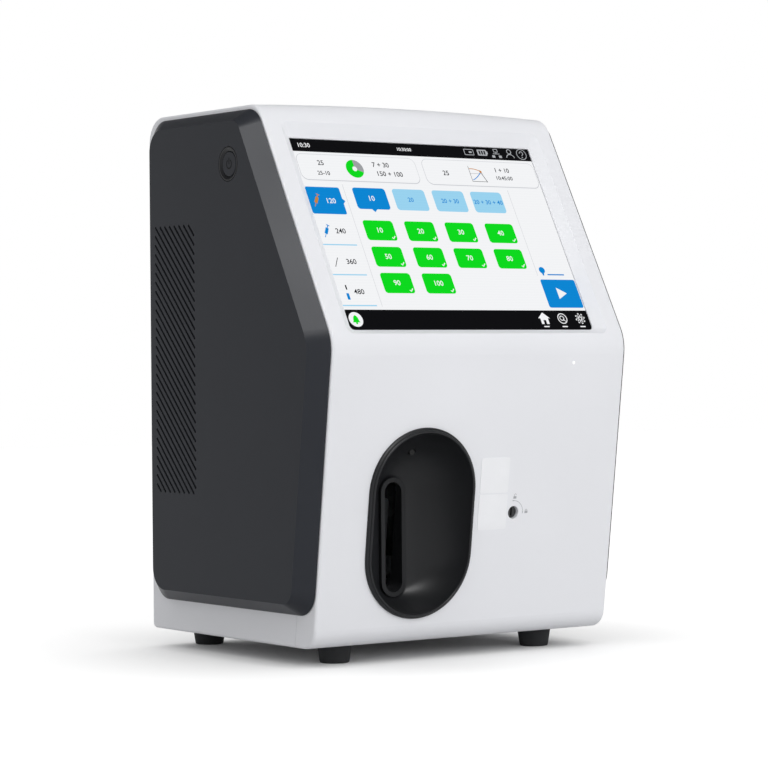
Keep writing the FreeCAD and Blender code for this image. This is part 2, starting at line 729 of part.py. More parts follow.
def front_shell():
    """The front moulding: both front faces and a short rim behind them."""
    shell = housing_outside().cut(housing_inside()).cut(behind_seam(SEAM_SETBACK))
    shell = shell.fuse(on_upper(screen_surround()))
    posts = [on_upper(rod(Vector(x, y, FRAME_FACE), UP, FRAME_POST_RADIUS, -FRAME_FACE - HOUSING_WALL / 2))
             for x, y in frame_post_places()]
    screw_holes = [on_upper(rod(Vector(x, y, FRAME_FACE - OVERRUN), UP, FRAME_SCREW_RADIUS,
                                OVERRUN + FRAME_SCREW_BITE)) for x, y in frame_post_places()]
    shell = shell.fuse(posts).cut([on_upper(screen_recess())] + screw_holes)
    hole = oval((PORT_X, -PORT_BELOW_BEND), PORT_HALF_WIDTH - PORT_RIM_LAP,
                PORT_HALF_HEIGHT - PORT_RIM_LAP, at_z(-HOUSING_WALL - OVERRUN))
    through = UP * (HOUSING_WALL + 2 * OVERRUN)
    behind = -HOUSING_WALL - OVERRUN
    lock_hole = rod(Vector(LOCK_X, -LOCK_BELOW_BEND, behind), UP, LOCK_CORE_RADIUS + LOCK_HOLE_CLEARANCE,
                    through.Length)
    lamp_hole = rod(Vector(LAMP_X, -LAMP_BELOW_BEND, behind), UP, LAMP_RADIUS + LAMP_CLEARANCE, through.Length)
    return shell.cut([on_lower(prism(hole, through)), on_lower(lock_hole), on_lower(lamp_hole)])


def main_shell():
    """The main moulding: sides, top, floor and the border round the rear panels."""
    shell = housing_outside().cut(housing_inside()).common(behind_seam(SEAM_SETBACK + SEAM_GAP))
    cuts = [rear_opening(PANEL_LAP, HOUSING_WALL + OVERRUN), rear_opening(0, PANEL_SHEET),
            bay_opening(), side_intake(), bolt_bar(BOLT_CLEARANCE, SIDE_X + OVERRUN)]
    cuts += [rod(Vector(x, y, FLOOR_Z - OVERRUN), UP, FOOT_SCREW_RADIUS + FOOT_SCREW_CLEARANCE,
                 HOUSING_WALL + 2 * OVERRUN) for x, y in foot_places()]
    cuts += [rod(Vector(-SIDE_X - OVERRUN, y, z), TO_RIGHT, COVER_SCREW_RADIUS + COVER_SCREW_CLEARANCE,
                 HOUSING_WALL + 2 * OVERRUN) for y, z in cover_screw_places()]
    cuts += [rod(Vector(x, REAR_Y - HOUSING_WALL - OVERRUN, z), TO_BACK, PANEL_SCREW_RADIUS,
                 HOUSING_WALL + 2 * OVERRUN) for x, z in panel_screw_places()]
    return shell.cut(cuts)


def rear_opening(shrink, depth):
    """The rear panels' outline, drawn in by a lap, to a depth in front of the rear face."""
    x = around(0, BODY_WIDTH - 2 * PANEL_SIDE_MARGIN - 2 * shrink)
    z = (FLOOR_Z + PANEL_FOOT_MARGIN + shrink, TOP_Z - PANEL_TOP_MARGIN - shrink)
    return prism(rounded(x, z, PANEL_CORNER, at_y(REAR_Y + OVERRUN)), TO_FRONT * (depth + OVERRUN))


def bay_opening():
    """The doorway in the right wall that the reagent cartridge goes through."""
    y = (FRONT_Y + BAY_FRONT_SETBACK, FRONT_Y + BAY_FRONT_SETBACK + BAY_DEPTH)
    z = (BAY_FOOT_Z, BAY_TOP_Z)
    return prism(rounded(y, z, BAY_CORNER, at_x(INSIDE_X - OVERRUN)), TO_RIGHT * (HOUSING_WALL + 2 * OVERRUN))


def side_intake():
    """The air opening in the left wall behind the vent field."""
    y = (FRONT_Y + VENT_FRONT_SETBACK + SIDE_INTAKE_INSET,
         FRONT_Y + VENT_FRONT_SETBACK + VENT_WIDTH - SIDE_INTAKE_INSET)
    z = (FLOOR_Z + VENT_FOOT_HEIGHT + SIDE_INTAKE_INSET,
         FLOOR_Z + VENT_FOOT_HEIGHT + VENT_HEIGHT - SIDE_INTAKE_INSET)
    return block((-SIDE_X - OVERRUN, -INSIDE_X + OVERRUN), y, z)


# Feet

def foot_places():
    """The four foot centres."""
    depths = (FRONT_Y + FOOT_FRONT_SETBACK, REAR_Y - FOOT_REAR_MARGIN)
    return [(x, y) for x in around(0, FOOT_SPACING) for y in depths]


def foot(x, y):
    """A tapered rubber foot with a screw hole and a recess for the screw's head."""
    body = Part.makeCone(FOOT_TREAD_RADIUS, FOOT_TOP_RADIUS, FOOT_HEIGHT, Vector(x, y, 0), UP)
    tread = [edge for edge in body.Edges if edge.BoundBox.ZMax < SAME_POINT]
    body = body.makeFillet(FOOT_EDGE_RADIUS, tread)
    hole = rod(Vector(x, y, -OVERRUN), UP, FOOT_SCREW_RADIUS, FOOT_HEIGHT + 2 * OVERRUN)
    recess = rod(Vector(x, y, -OVERRUN), UP, FOOT_SCREW_HEAD_RADIUS + FOOT_SCREW_CLEARANCE,
                 FOOT_SCREW_RECESS + OVERRUN)
    return body.cut([hole, recess])


def foot_screw(x, y):
    """A pan-head screw up through a foot, the floor and the tray."""
    head_z = FOOT_SCREW_RECESS - FOOT_SCREW_HEAD_HEIGHT
    head = rod(Vector(x, y, head_z), UP, FOOT_SCREW_HEAD_RADIUS, FOOT_SCREW_HEAD_HEIGHT)
    shank = rod(Vector(x, y, head_z), UP, FOOT_SCREW_RADIUS, DECK_Z + FOOT_SCREW_TAIL - head_z)
    return head.fuse(shank)


# Display stack

def display_glass():
    """The cover glass, seated on the back of the recess's lip."""
    wire = screen_outline(GLASS_LAP, GLASS_LAP, GLASS_LAP, SCREEN_FOOT_CORNER, SCREEN_FOOT_CORNER, -GLASS_FACE)
    return on_upper(prism(wire, DOWN * GLASS_THICKNESS))


def lcd_panel():
    """The display module behind the glass."""
    lap = GLASS_LAP + LCD_LAP
    wire = screen_outline(lap, lap, lap, SCREEN_TOP_CORNER, SCREEN_TOP_CORNER, -LCD_FACE)
    return on_upper(prism(wire, DOWN * LCD_THICKNESS))


def display_frame():
    """The sheet frame that holds the display against the lip, with spacers for its board."""
    y = (SCREEN_ABOVE_BEND - GLASS_LAP, SCREEN_ABOVE_BEND + SCREEN_HEIGHT + GLASS_LAP)
    sheet = slab(around(0, SCREEN_WIDTH + 2 * FRAME_REACH), y, (FRAME_FACE - FRAME_SHEET, FRAME_FACE),
                 SCREEN_FOOT_CORNER)
    window = slab(around(0, SCREEN_WIDTH - 2 * FRAME_WINDOW_INSET),
                  (y[0] + FRAME_WINDOW_INSET, y[1] - FRAME_WINDOW_INSET),
                  (FRAME_FACE - FRAME_SHEET - OVERRUN, FRAME_FACE + OVERRUN), SCREEN_FOOT_CORNER)
    bar = slab(around(0, DISPLAY_BOARD_WIDTH), y, (FRAME_FACE - FRAME_SHEET, FRAME_FACE), SCREEN_TOP_CORNER)
    spacers = [rod(Vector(x, y, FRAME_FACE - FRAME_SHEET), DOWN, DISPLAY_SPACER_RADIUS, DISPLAY_SPACER_HEIGHT)
               for x, y in display_spacer_places()]
    holes = [rod(Vector(x, y, FRAME_FACE - FRAME_SHEET - OVERRUN), UP, FRAME_SCREW_RADIUS,
                 FRAME_SHEET + 2 * OVERRUN) for x, y in frame_post_places()]
    return on_upper(sheet.cut(window).fuse([bar] + spacers).cut(holes))


def display_screw(x, y):
    """A screw through the display frame into a post of the front shell."""
    face = FRAME_FACE - FRAME_SHEET
    head = rod(Vector(x, y, face), DOWN, FRAME_SCREW_HEAD_RADIUS, FRAME_SCREW_HEAD_HEIGHT)
    return on_upper(head.fuse(rod(Vector(x, y, face), UP, FRAME_SCREW_RADIUS, FRAME_SHEET + FRAME_SCREW_BITE)))


def display_spacer_places():
    """The four corners where the display board stands on its spacers."""
    across = DISPLAY_BOARD_WIDTH / 2 - DISPLAY_SPACER_INSET
    up = DISPLAY_BOARD_HEIGHT / 2 - DISPLAY_SPACER_INSET
    return [(x, SCREEN_MIDDLE + y) for x in (-across, across) for y in (-up, up)]


def display_board():
    """The display's driver board."""
    top = FRAME_FACE - FRAME_SHEET - DISPLAY_SPACER_HEIGHT
    board = slab(around(0, DISPLAY_BOARD_WIDTH), around(SCREEN_MIDDLE, DISPLAY_BOARD_HEIGHT),
                 (top - DISPLAY_BOARD_THICKNESS, top), SCREEN_TOP_CORNER)
    return on_upper(board)


def status_lamp():
    """The small light pipe under the screen."""
    stem = rod(Vector(LAMP_X, -LAMP_BELOW_BEND, -HOUSING_WALL - LAMP_TAIL), UP, LAMP_RADIUS,
               HOUSING_WALL + LAMP_TAIL + LAMP_PROUD)
    flange = rod(Vector(LAMP_X, -LAMP_BELOW_BEND, -HOUSING_WALL - LAMP_TAIL), UP, LAMP_FLANGE_RADIUS, LAMP_TAIL)
    return on_lower(stem.fuse(flange))


# Sample port

def bowl(skin):
    """The bowl of the sample port as a solid, its sections grown by a skin of material and ever more upright."""
    mouth_width = PORT_HALF_WIDTH - PORT_RIM_WIDTH
    mouth_height = PORT_HALF_HEIGHT - PORT_RIM_WIDTH
    sections = []
    for depth, share in zip(BOWL_DEPTH_SHARES, BOWL_INSET_SHARES):
        half_width = mouth_width + (COLLAR_HALF_WIDTH - mouth_width) * share + skin
        half_height = mouth_height + (COLLAR_HALF_HEIGHT - mouth_height) * share + skin
        middle = PORT_BELOW_BEND + (COLLAR_BELOW_BEND - PORT_BELOW_BEND) * share
        level = PORT_RIM_PROUD - (PORT_RIM_PROUD + COLLAR_SETBACK) * depth - skin
        section = oval((PORT_X, -middle), half_width, half_height, at_z(level))
        section.rotate(Vector(PORT_X, -middle, level), TO_RIGHT, -LOWER_ANGLE * depth)
        sections.append(section)
    return Part.makeLoft(sections, True, False)


def before_collar():
    """The space in front of the collar's upright face, in the lower face's frame."""
    space = block(around(PORT_X, PORT_HALF_WIDTH), around(-COLLAR_BELOW_BEND, 2 * PORT_HALF_HEIGHT),
                  (COLLAR_FACE, COLLAR_FACE + PORT_HALF_HEIGHT))
    space.rotate(Vector(PORT_X, -COLLAR_BELOW_BEND, COLLAR_FACE), TO_RIGHT, -LOWER_ANGLE)
    return space


def port_bezel():
    """The port moulding: proud rim, bowl and the slot's collar."""
    rim = prism(oval((PORT_X, -PORT_BELOW_BEND), PORT_HALF_WIDTH, PORT_HALF_HEIGHT, at_z(0)), UP * PORT_RIM_PROUD)
    edges = [edge for edge in rim.Edges if edge.BoundBox.ZMin > PORT_RIM_PROUD - SAME_POINT]
    rim = rim.makeFillet(PORT_RIM_RADIUS, edges)
    neck = prism(oval((PORT_X, -PORT_BELOW_BEND), PORT_HALF_WIDTH - PORT_RIM_LAP - PORT_HOLE_CLEARANCE,
                      PORT_HALF_HEIGHT - PORT_RIM_LAP - PORT_HOLE_CLEARANCE, at_z(-HOUSING_WALL)),
                 UP * HOUSING_WALL)
    collar = prism(oval((PORT_X, -COLLAR_BELOW_BEND), COLLAR_HALF_WIDTH, COLLAR_HALF_HEIGHT, at_z(COLLAR_END)),
                   UP * -COLLAR_END).cut(before_collar())
    slot = prism(oval((PORT_X, -COLLAR_BELOW_BEND), SLOT_HALF_WIDTH, SLOT_HALF_HEIGHT, at_z(COLLAR_END - OVERRUN)),
                 UP * (OVERRUN - COLLAR_END))
    lamp_hole = rod(port_lamp_foot(), UP, PORT_LAMP_RADIUS + PORT_LAMP_CLEARANCE, PORT_LAMP_LENGTH + OVERRUN)
    mouth = prism(oval((PORT_X, -PORT_BELOW_BEND), PORT_HALF_WIDTH - PORT_RIM_WIDTH,
                       PORT_HALF_HEIGHT - PORT_RIM_WIDTH, at_z(PORT_RIM_PROUD)), UP * OVERRUN)
    body = rim.fuse([neck, bowl(PORT_SKIN)]).cut([bowl(0), mouth]).fuse(collar).cut([slot, lamp_hole])
    return on_lower(body)


def port_lamp_foot():
    """The back end of the port lamp, in the lower face's frame."""
    return Vector(PORT_X + PORT_LAMP_OFFSET_X, PORT_LAMP_OFFSET_UP - PORT_BELOW_BEND,
                  -PORT_LAMP_SETBACK - PORT_LAMP_LENGTH)


def port_lamp():
    """The small lamp that lights the bowl."""
    return on_lower(rod(port_lamp_foot(), UP, PORT_LAMP_RADIUS, PORT_LAMP_LENGTH))


def blank_label(index):
    """One plain adhesive label beside the port."""
    middle = -LABEL_TOP_BELOW_BEND - index * LABEL_PITCH
    return on_lower(slab(around(LABEL_X, LABEL_SIZE), around(middle, LABEL_SIZE), (0, LABEL_THICKNESS),
                         LABEL_CORNER))


# Sampler

def arm_pivot():
    """The arm's pivot in space."""
    return lower_point(PORT_X, ARM_PIVOT_BELOW_BEND, ARM_PIVOT_SETBACK)


def motor_axis():
    """The sampler motor's axis in space, straight behind the pivot."""
    return lower_point(PORT_X, ARM_PIVOT_BELOW_BEND, ARM_PIVOT_SETBACK + GEAR_DISTANCE)


def sampler_arm():
    """The swinging arm, upright behind the slot at rest."""
    x = around(PORT_X, ARM_THICKNESS)
    foot_y = -ARM_PIVOT_BELOW_BEND
    level = around(-ARM_PIVOT_SETBACK, ARM_THICKNESS)
    bar = slab(x, (foot_y, foot_y + ARM_LENGTH), level, ARM_CORNER)
    pivot = Vector(x[0], foot_y, -ARM_PIVOT_SETBACK)
    hub = rod(pivot, TO_RIGHT, ARM_HUB_RADIUS, ARM_THICKNESS)
    bore = rod(pivot + TO_LEFT * OVERRUN, TO_RIGHT, ARM_SHAFT_RADIUS, ARM_THICKNESS + 2 * OVERRUN)
    tube_hole = rod(needle_foot(), TO_BACK, NEEDLE_RADIUS + NEEDLE_CLEARANCE, ARM_LENGTH)
    return on_lower(bar.fuse(hub).cut([bore, tube_hole]))


def needle_foot():
    """The lower end of the sampling tube, in the lower face's frame."""
    return Vector(PORT_X, NEEDLE_START - ARM_PIVOT_BELOW_BEND, -ARM_PIVOT_SETBACK)


def sample_needle():
    """The steel sampling tube in the arm, with its tip past the arm's end."""
    length = ARM_LENGTH + NEEDLE_REACH - NEEDLE_START
    return on_lower(pipe(needle_foot(), TO_BACK, NEEDLE_RADIUS, NEEDLE_BORE, length))


def ear_faces():
    """The inner and outer faces of the bracket's left and right ears."""
    left = PORT_X - EAR_GAP / 2
    right = PORT_X + EAR_GAP / 2
    return (left - EAR_SHEET, left), (right, right + EAR_SHEET)


def sampler_bracket():
    """The bracket on the tray that carries the arm's shaft and the motor."""
    pivot = arm_pivot()
    motor = motor_axis()
    left, right = ear_faces()
    long_y = (pivot.y - EAR_MARGIN, motor.y + SAMPLER_MOTOR_SIZE / 2)
    short_y = around(pivot.y, 2 * EAR_MARGIN)
    top = motor.z + SAMPLER_MOTOR_SIZE / 2
    left_ear = prism(rounded(long_y, (DECK_Z - EAR_CORNER, top), EAR_CORNER, at_x(left[0])), TO_RIGHT * EAR_SHEET)
    right_ear = prism(rounded(short_y, (DECK_Z - EAR_CORNER, pivot.z + EAR_MARGIN), EAR_CORNER, at_x(right[0])),
                      TO_RIGHT * EAR_SHEET)
    plate = block((left[0], right[1] + BRACKET_FOOT), (long_y[0], long_y[1]), (DECK_Z, DECK_Z + EAR_SHEET))
    below = block((left[0] - OVERRUN, right[1] + OVERRUN), (long_y[0] - OVERRUN, long_y[1] + OVERRUN),
                  (DECK_Z - 2 * EAR_CORNER, DECK_Z))
    shaft_hole = rod(Vector(left[0] - OVERRUN, pivot.y, pivot.z), TO_RIGHT, ARM_SHAFT_RADIUS + SHAFT_FIT,
                     right[1] - left[0] + 2 * OVERRUN)
    motor_hole = rod(Vector(left[0] - OVERRUN, motor.y, motor.z), TO_RIGHT, MOTOR_SHAFT_RADIUS + SHAFT_FIT,
                     EAR_SHEET + 2 * OVERRUN)
    return left_ear.fuse([right_ear, plate]).cut([below, shaft_hole, motor_hole])


def sampler_shaft():
    """The shaft that the arm and its gear are fixed to."""
    left, right = ear_faces()
    pivot = arm_pivot()
    start = left[0] - GEAR_SPACE - GEAR_WIDTH - SHAFT_END
    return rod(Vector(start, pivot.y, pivot.z), TO_RIGHT, ARM_SHAFT_RADIUS, right[1] + SHAFT_END - start)


def on_shaft(shape, centre):
    """Turns a gear drawn about z so that its axis lies along x and its zero angle points up the face."""
    stand = FreeCAD.Rotation(TO_RIGHT, QUARTER_TURN + LOWER_ANGLE)
    lay = FreeCAD.Rotation(Vector(1, 1, 1), FULL_TURN / 3)
    moved = shape.copy()
    moved.Placement = FreeCAD.Placement(centre, stand.multiply(lay))
    return moved


def sampler_gear():
    """The toothed sector on the arm's shaft."""
    teeth = involute_gear(GEAR_MODULE, ARM_GEAR_TEETH, GEAR_WIDTH, ARM_SHAFT_RADIUS, -QUARTER_TURN, GEAR_BACKLASH)
    reach = GEAR_MODULE * ARM_GEAR_TEETH
    wedge = Part.makeCylinder(reach, GEAR_WIDTH, Vector(0, 0, 0), UP, ARM_GEAR_LAST_ANGLE - ARM_GEAR_FIRST_ANGLE)
    wedge.rotate(Vector(0, 0, 0), UP, ARM_GEAR_FIRST_ANGLE)
    hub = pipe(Vector(0, 0, 0), UP, GEAR_HUB_RADIUS, ARM_SHAFT_RADIUS, GEAR_WIDTH)
    pivot = arm_pivot()
    start = ear_faces()[0][0] - GEAR_SPACE - GEAR_WIDTH
    return on_shaft(teeth.common(wedge).fuse(hub), Vector(start, pivot.y, pivot.z))


def motor_pinion():
    """The sampler motor's pinion, in mesh with the sector."""
    gap_angle = QUARTER_TURN + HALF_TURN / MOTOR_GEAR_TEETH
    gear = involute_gear(GEAR_MODULE, MOTOR_GEAR_TEETH, GEAR_WIDTH, MOTOR_SHAFT_RADIUS, gap_angle, GEAR_BACKLASH)
    axis = motor_axis()
    start = ear_faces()[0][0] - GEAR_SPACE - GEAR_WIDTH
    return on_shaft(gear, Vector(start, axis.y, axis.z))


def motor_shaft():
    """The shaft that joins the motor to its pinion."""
    left = ear_faces()[0]
    axis = motor_axis()
    start = left[0] - GEAR_SPACE - GEAR_WIDTH - SHAFT_END
    return rod(Vector(start, axis.y, axis.z), TO_RIGHT, MOTOR_SHAFT_RADIUS, left[1] + MOTOR_SHAFT_DEPTH - start)


def sampler_motor():
    """The square stepping motor behind the left ear."""
    left = ear_faces()[0]
    axis = motor_axis()
    wire = rounded(around(axis.y, SAMPLER_MOTOR_SIZE), around(axis.z, SAMPLER_MOTOR_SIZE), SAMPLER_MOTOR_CORNER,
                   at_x(left[1]))
    bore = rod(Vector(left[1] - OVERRUN, axis.y, axis.z), TO_RIGHT, MOTOR_SHAFT_RADIUS + SHAFT_FIT,
               MOTOR_SHAFT_DEPTH + SHAFT_FIT + OVERRUN)
    return prism(wire, TO_RIGHT * SAMPLER_MOTOR_LENGTH).cut(bore)


# Door lock

def lock_levels():
    """The back face of the lock body, and the back and front faces of its pinion."""
    body_back = -HOUSING_WALL - LOCK_BODY_LENGTH
    gear_front = body_back - LOCK_GEAR_SPACE
    return body_back, gear_front - LOCK_GEAR_WIDTH, gear_front


def lock_body():
    """The lock's barrel behind the front wall."""
    back = lock_levels()[0]
    return on_lower(pipe(Vector(LOCK_X, -LOCK_BELOW_BEND, back), UP, LOCK_BODY_RADIUS,
                         LOCK_CORE_RADIUS + LOCK_FIT, LOCK_BODY_LENGTH))


def lock_core():
    """The key core: a round plug with a keyway in its face."""
    gear_back = lock_levels()[1]
    core = rod(Vector(LOCK_X, -LOCK_BELOW_BEND, gear_back), UP, LOCK_CORE_RADIUS, -LOCK_FACE_SETBACK - gear_back)
    keyway = block(around(LOCK_X, KEYWAY_WIDTH), around(-LOCK_BELOW_BEND, KEYWAY_HEIGHT),
                   (-LOCK_FACE_SETBACK - KEYWAY_DEPTH, 0))
    return on_lower(core.cut(keyway))


def lock_pinion():
    """The pinion on the back of the key core."""
    gear = involute_gear(LOCK_MODULE, LOCK_GEAR_TEETH, LOCK_GEAR_WIDTH, LOCK_CORE_RADIUS, QUARTER_TURN,
                         GEAR_BACKLASH)
    gear.translate(Vector(LOCK_X, -LOCK_BELOW_BEND, lock_levels()[1]))
    return on_lower(gear)


def bolt_span():
    """The bolt bar's span up the face, above the rack's root line."""
    foot_y = -LOCK_BELOW_BEND + LOCK_GEAR_RADIUS + ROOT_SHARE * LOCK_MODULE
    return (foot_y, foot_y + BOLT_HEIGHT)


def bolt_bar(grow, end):
    """The bolt's plain bar towards the right wall, grown by a clearance for the holes round it."""
    up = bolt_span()
    back, front = lock_levels()[1:]
    return on_lower(block((LOCK_X - BOLT_TAIL, end), (up[0] - grow, up[1] + grow), (back - grow, front + grow)))


def latch_bolt():
    """The sliding bolt with the rack that the pinion drives."""
    pitch = math.pi * LOCK_MODULE
    back = lock_levels()[1]
    teeth = rack(LOCK_MODULE, RACK_LENGTH, BOLT_HEIGHT, LOCK_GEAR_WIDTH, pitch / 2, GEAR_BACKLASH)
    teeth.translate(Vector(LOCK_X, -LOCK_BELOW_BEND + LOCK_GEAR_RADIUS, back))
    return bolt_bar(0, SIDE_X - BOLT_WALL_GAP).fuse(on_lower(teeth))


def bolt_guide():
    """The guide on the right wall that the bolt slides through."""
    up = bolt_span()
    back, front = lock_levels()[1:]
    wall = BOLT_GUIDE_WALL
    body = block((INSIDE_X - BOLT_GUIDE_LENGTH, INSIDE_X), (up[0] - wall, up[1] + wall),
                 (back - wall, front + wall))
    return on_lower(body).cut(bolt_bar(BOLT_CLEARANCE, SIDE_X))


def door_catch():
    """The keeper inside the service door that the bolt enters when it is locked."""
    up = bolt_span()
    back, front = lock_levels()[1:]
    grow = CATCH_WALL + BOLT_CLEARANCE
    body = block((SIDE_X + CATCH_GAP, COVER_X - COVER_WALL), (up[0] - grow, up[1] + grow),
                 (back - grow, front + grow))
    pocket = block((SIDE_X, SIDE_X + CATCH_GAP + CATCH_DEPTH + OVERRUN),
                   (up[0] - BOLT_CLEARANCE, up[1] + BOLT_CLEARANCE), (back - BOLT_CLEARANCE, front + BOLT_CLEARANCE))
    return on_lower(body.cut(pocket)).common(cover_dome(1, COVER_WALL))


# Side covers

def cover_corners(shrink):
    """The corners of a side cover's foot outline, drawn in by a skin of material."""
    return inset(housing_corners(TOP_Z), [COVER_FRONT_MARGIN + shrink, COVER_FRONT_MARGIN + shrink,
                                          COVER_TOP_MARGIN + shrink, COVER_REAR_MARGIN + shrink,
                                          COVER_BOTTOM_MARGIN + shrink])


def cover_dome(side, skin):
    """A side cover as a solid: a chamfered loft from its foot to its flat face, less a skin.

    The right one slopes more gently at the front, so that it doesn't show from the front.
    """
    foot_corners = cover_corners(skin)
    front_chamfer = DOOR_FRONT_CHAMFER if side > 0 else COVER_CHAMFER
    flat_corners = inset(foot_corners, [front_chamfer, front_chamfer, COVER_CHAMFER,
                                        COVER_REAR_CHAMFER, COVER_CHAMFER])
    foot_radii = [COVER_CORNER - skin, BEND_RADIUS - skin, COVER_CORNER - skin,
                  COVER_CORNER - skin, COVER_CORNER - skin]
    flat_radii = [COVER_FLAT_CORNER - skin, BEND_RADIUS - skin, COVER_FLAT_CORNER - skin,
                  COVER_REAR_CORNER - skin, COVER_REAR_CORNER - skin]
    foot_wire = outline(foot_corners, foot_radii, at_x(side * (SIDE_X + COVER_GAP)))
    flat_wire = outline(flat_corners, flat_radii, at_x(side * (COVER_X - skin)))
    return ruled(foot_wire, flat_wire)


def cover_shell(side):
    """A side cover's thin shell with the seat that stands on the housing, inside a shadow gap."""
    shell = cover_dome(side, 0).cut(cover_dome(side, COVER_WALL))
    outer = outline(cover_corners(COVER_SEAT_INSET), [COVER_CORNER - COVER_SEAT_INSET] * 5, at_x(side * SIDE_X))
    shrink = COVER_SEAT_INSET + COVER_SEAT_WIDTH
    inner = outline(cover_corners(shrink), [COVER_CORNER - shrink] * 5, at_x(side * (SIDE_X - OVERRUN)))
    reach = COVER_GAP + COVER_WALL
    seat = prism(outer, TO_RIGHT * side * reach).cut(prism(inner, TO_RIGHT * side * (reach + 2 * OVERRUN)))
    seat = seat.common(cover_dome(side, 0).fuse(prism(outer, TO_RIGHT * side * COVER_GAP)))
    return shell.fuse(seat)


def cover_screw_places():
    """Where the left cover's screws go through the housing's side, as depth and height."""
    foot_front, bend, top_front, top_rear, foot_rear = inset(cover_corners(0), [COVER_BOSS_INSET] * 5)
    return [foot_front, bend, top_rear, foot_rear]


def vent_slots():
    """The slanted slots of the vent field, each cut off where it meets the field's edge."""
    y0 = FRONT_Y + VENT_FRONT_SETBACK
    z0 = FLOOR_Z + VENT_FOOT_HEIGHT
    rise = math.tan(math.radians(VENT_SLOPE))
    margin = VENT_SLOT_WIDTH / 2
    count = int((VENT_HEIGHT + VENT_WIDTH * rise) / VENT_PITCH)
    slots = []
    for index in range(1, count + 1):
        level = index * VENT_PITCH
        start = max(margin, (level - VENT_HEIGHT + margin) / rise)
        stop = min(VENT_WIDTH - margin, (level - margin) / rise)
        if stop - start > VENT_SLOT_WIDTH:
            slots.append(vent_slot((y0 + VENT_WIDTH - start, z0 + level - start * rise),
                                   (y0 + VENT_WIDTH - stop, z0 + level - stop * rise)))
    return slots


def vent_slot(first, last):
    """A slot with round ends between two points of the cover's flat face."""
    start = Vector(-COVER_X - OVERRUN, first[0], first[1])
    stop = Vector(-COVER_X - OVERRUN, last[0], last[1])
    reach = TO_RIGHT * (COVER_WALL + 2 * OVERRUN)
    across = (stop - start).cross(TO_RIGHT).normalize() * (VENT_SLOT_WIDTH / 2)
    along = (stop - start).normalize() * (VENT_SLOT_WIDTH / 2)
    edges = [Part.LineSegment(start + across, stop + across).toShape(),
             Part.Arc(stop + across, stop + along, stop - across).toShape(),
             Part.LineSegment(stop - across, start - across).toShape(),
             Part.Arc(start - across, start - along, start + across).toShape()]
    return prism(Part.Wire(edges), reach)


def left_cover():
    """The fixed left cover, with the vent field and the power button's hole."""
    shell = cover_shell(-1)
    reach = COVER_PROUD - COVER_WALL
    bosses = [pipe(Vector(-SIDE_X, y, z), TO_LEFT, COVER_BOSS_RADIUS, COVER_SCREW_RADIUS, reach)
              for y, z in cover_screw_places()]
    button = button_place()
    hole = rod(Vector(-COVER_X - OVERRUN, button.y, button.z), TO_RIGHT, BUTTON_RING_RADIUS + BUTTON_GROOVE,
               COVER_WALL + 2 * OVERRUN)
    return shell.fuse(bosses).cut(vent_slots() + [hole])


def cover_screw(y, z):
    """A screw from inside the housing into one of the left cover's bosses."""
    head = rod(Vector(-INSIDE_X, y, z), TO_RIGHT, COVER_SCREW_HEAD_RADIUS, COVER_SCREW_HEAD_HEIGHT)
    shank = rod(Vector(-INSIDE_X, y, z), TO_LEFT, COVER_SCREW_RADIUS, HOUSING_WALL + COVER_SCREW_BITE)
    return head.fuse(shank)


# Power button

def button_place():
    """The power button's centre on the left cover's flat face."""
    return Vector(-COVER_X, FRONT_Y + BUTTON_SETBACK, FLOOR_Z + BUTTON_HEIGHT)


def button_ring():
    """The ring round the power button, dished towards the cap."""
    face = button_place()
    ring = rod(face, TO_RIGHT, BUTTON_RING_RADIUS, BUTTON_RING_DEPTH)
    flange = rod(face + TO_RIGHT * COVER_WALL, TO_RIGHT, BUTTON_FLANGE_RADIUS, BUTTON_FLANGE_THICKNESS)
    slope = Part.makeCone(BUTTON_RING_MOUTH, BUTTON_RING_BORE, BUTTON_RING_SLOPE_DEPTH, face, TO_RIGHT)
    bore = rod(face, TO_RIGHT, BUTTON_RING_BORE, BUTTON_RING_DEPTH + OVERRUN)
    return ring.fuse(flange).cut([slope, bore])


def power_button():
    """The round cap, the collar that keeps it behind the ring, and its stem."""
    face = button_place() + TO_RIGHT * BUTTON_RECESS
    collar = button_place() + TO_RIGHT * (BUTTON_RING_DEPTH + BUTTON_COLLAR_GAP)
    cap = rod(face, TO_RIGHT, BUTTON_RADIUS, collar.x - face.x)
    rim = [edge for edge in cap.Edges if edge.BoundBox.XMax < face.x + SAME_POINT]
    cap = cap.makeFillet(BUTTON_EDGE_RADIUS, rim)
    stem = rod(collar, TO_RIGHT, BUTTON_STEM_RADIUS, SWITCH_FACE_X - PLUNGER_PROUD - collar.x)
    return cap.fuse([rod(collar, TO_RIGHT, BUTTON_COLLAR_RADIUS, BUTTON_COLLAR_THICKNESS), stem])


def switch_plunger():
    """The switch's plunger, which the button's stem rests on."""
    top = Vector(SWITCH_FACE_X - PLUNGER_PROUD, button_place().y, button_place().z)
    return rod(top, TO_RIGHT, PLUNGER_RADIUS, PLUNGER_PROUD + PLUNGER_SEAT)


def button_switch():
    """The push switch on the housing's side, with a well for its plunger."""
    place = button_place()
    base = block((SWITCH_FACE_X, -SIDE_X), around(place.y, SWITCH_SIZE), around(place.z, SWITCH_SIZE))
    well = rod(Vector(SWITCH_FACE_X - OVERRUN, place.y, place.z), TO_RIGHT, PLUNGER_RADIUS + PLUNGER_FIT,
               OVERRUN + PLUNGER_SEAT + BUTTON_TRAVEL + PLUNGER_FLOOR_GAP)
    return base.cut(well)


# Service door

def hinge_heights():
    """The middles of the two hinges."""
    foot_z = FLOOR_Z + COVER_BOTTOM_MARGIN + HINGE_INSET
    return (foot_z, TOP_Z - COVER_TOP_MARGIN - HINGE_INSET)


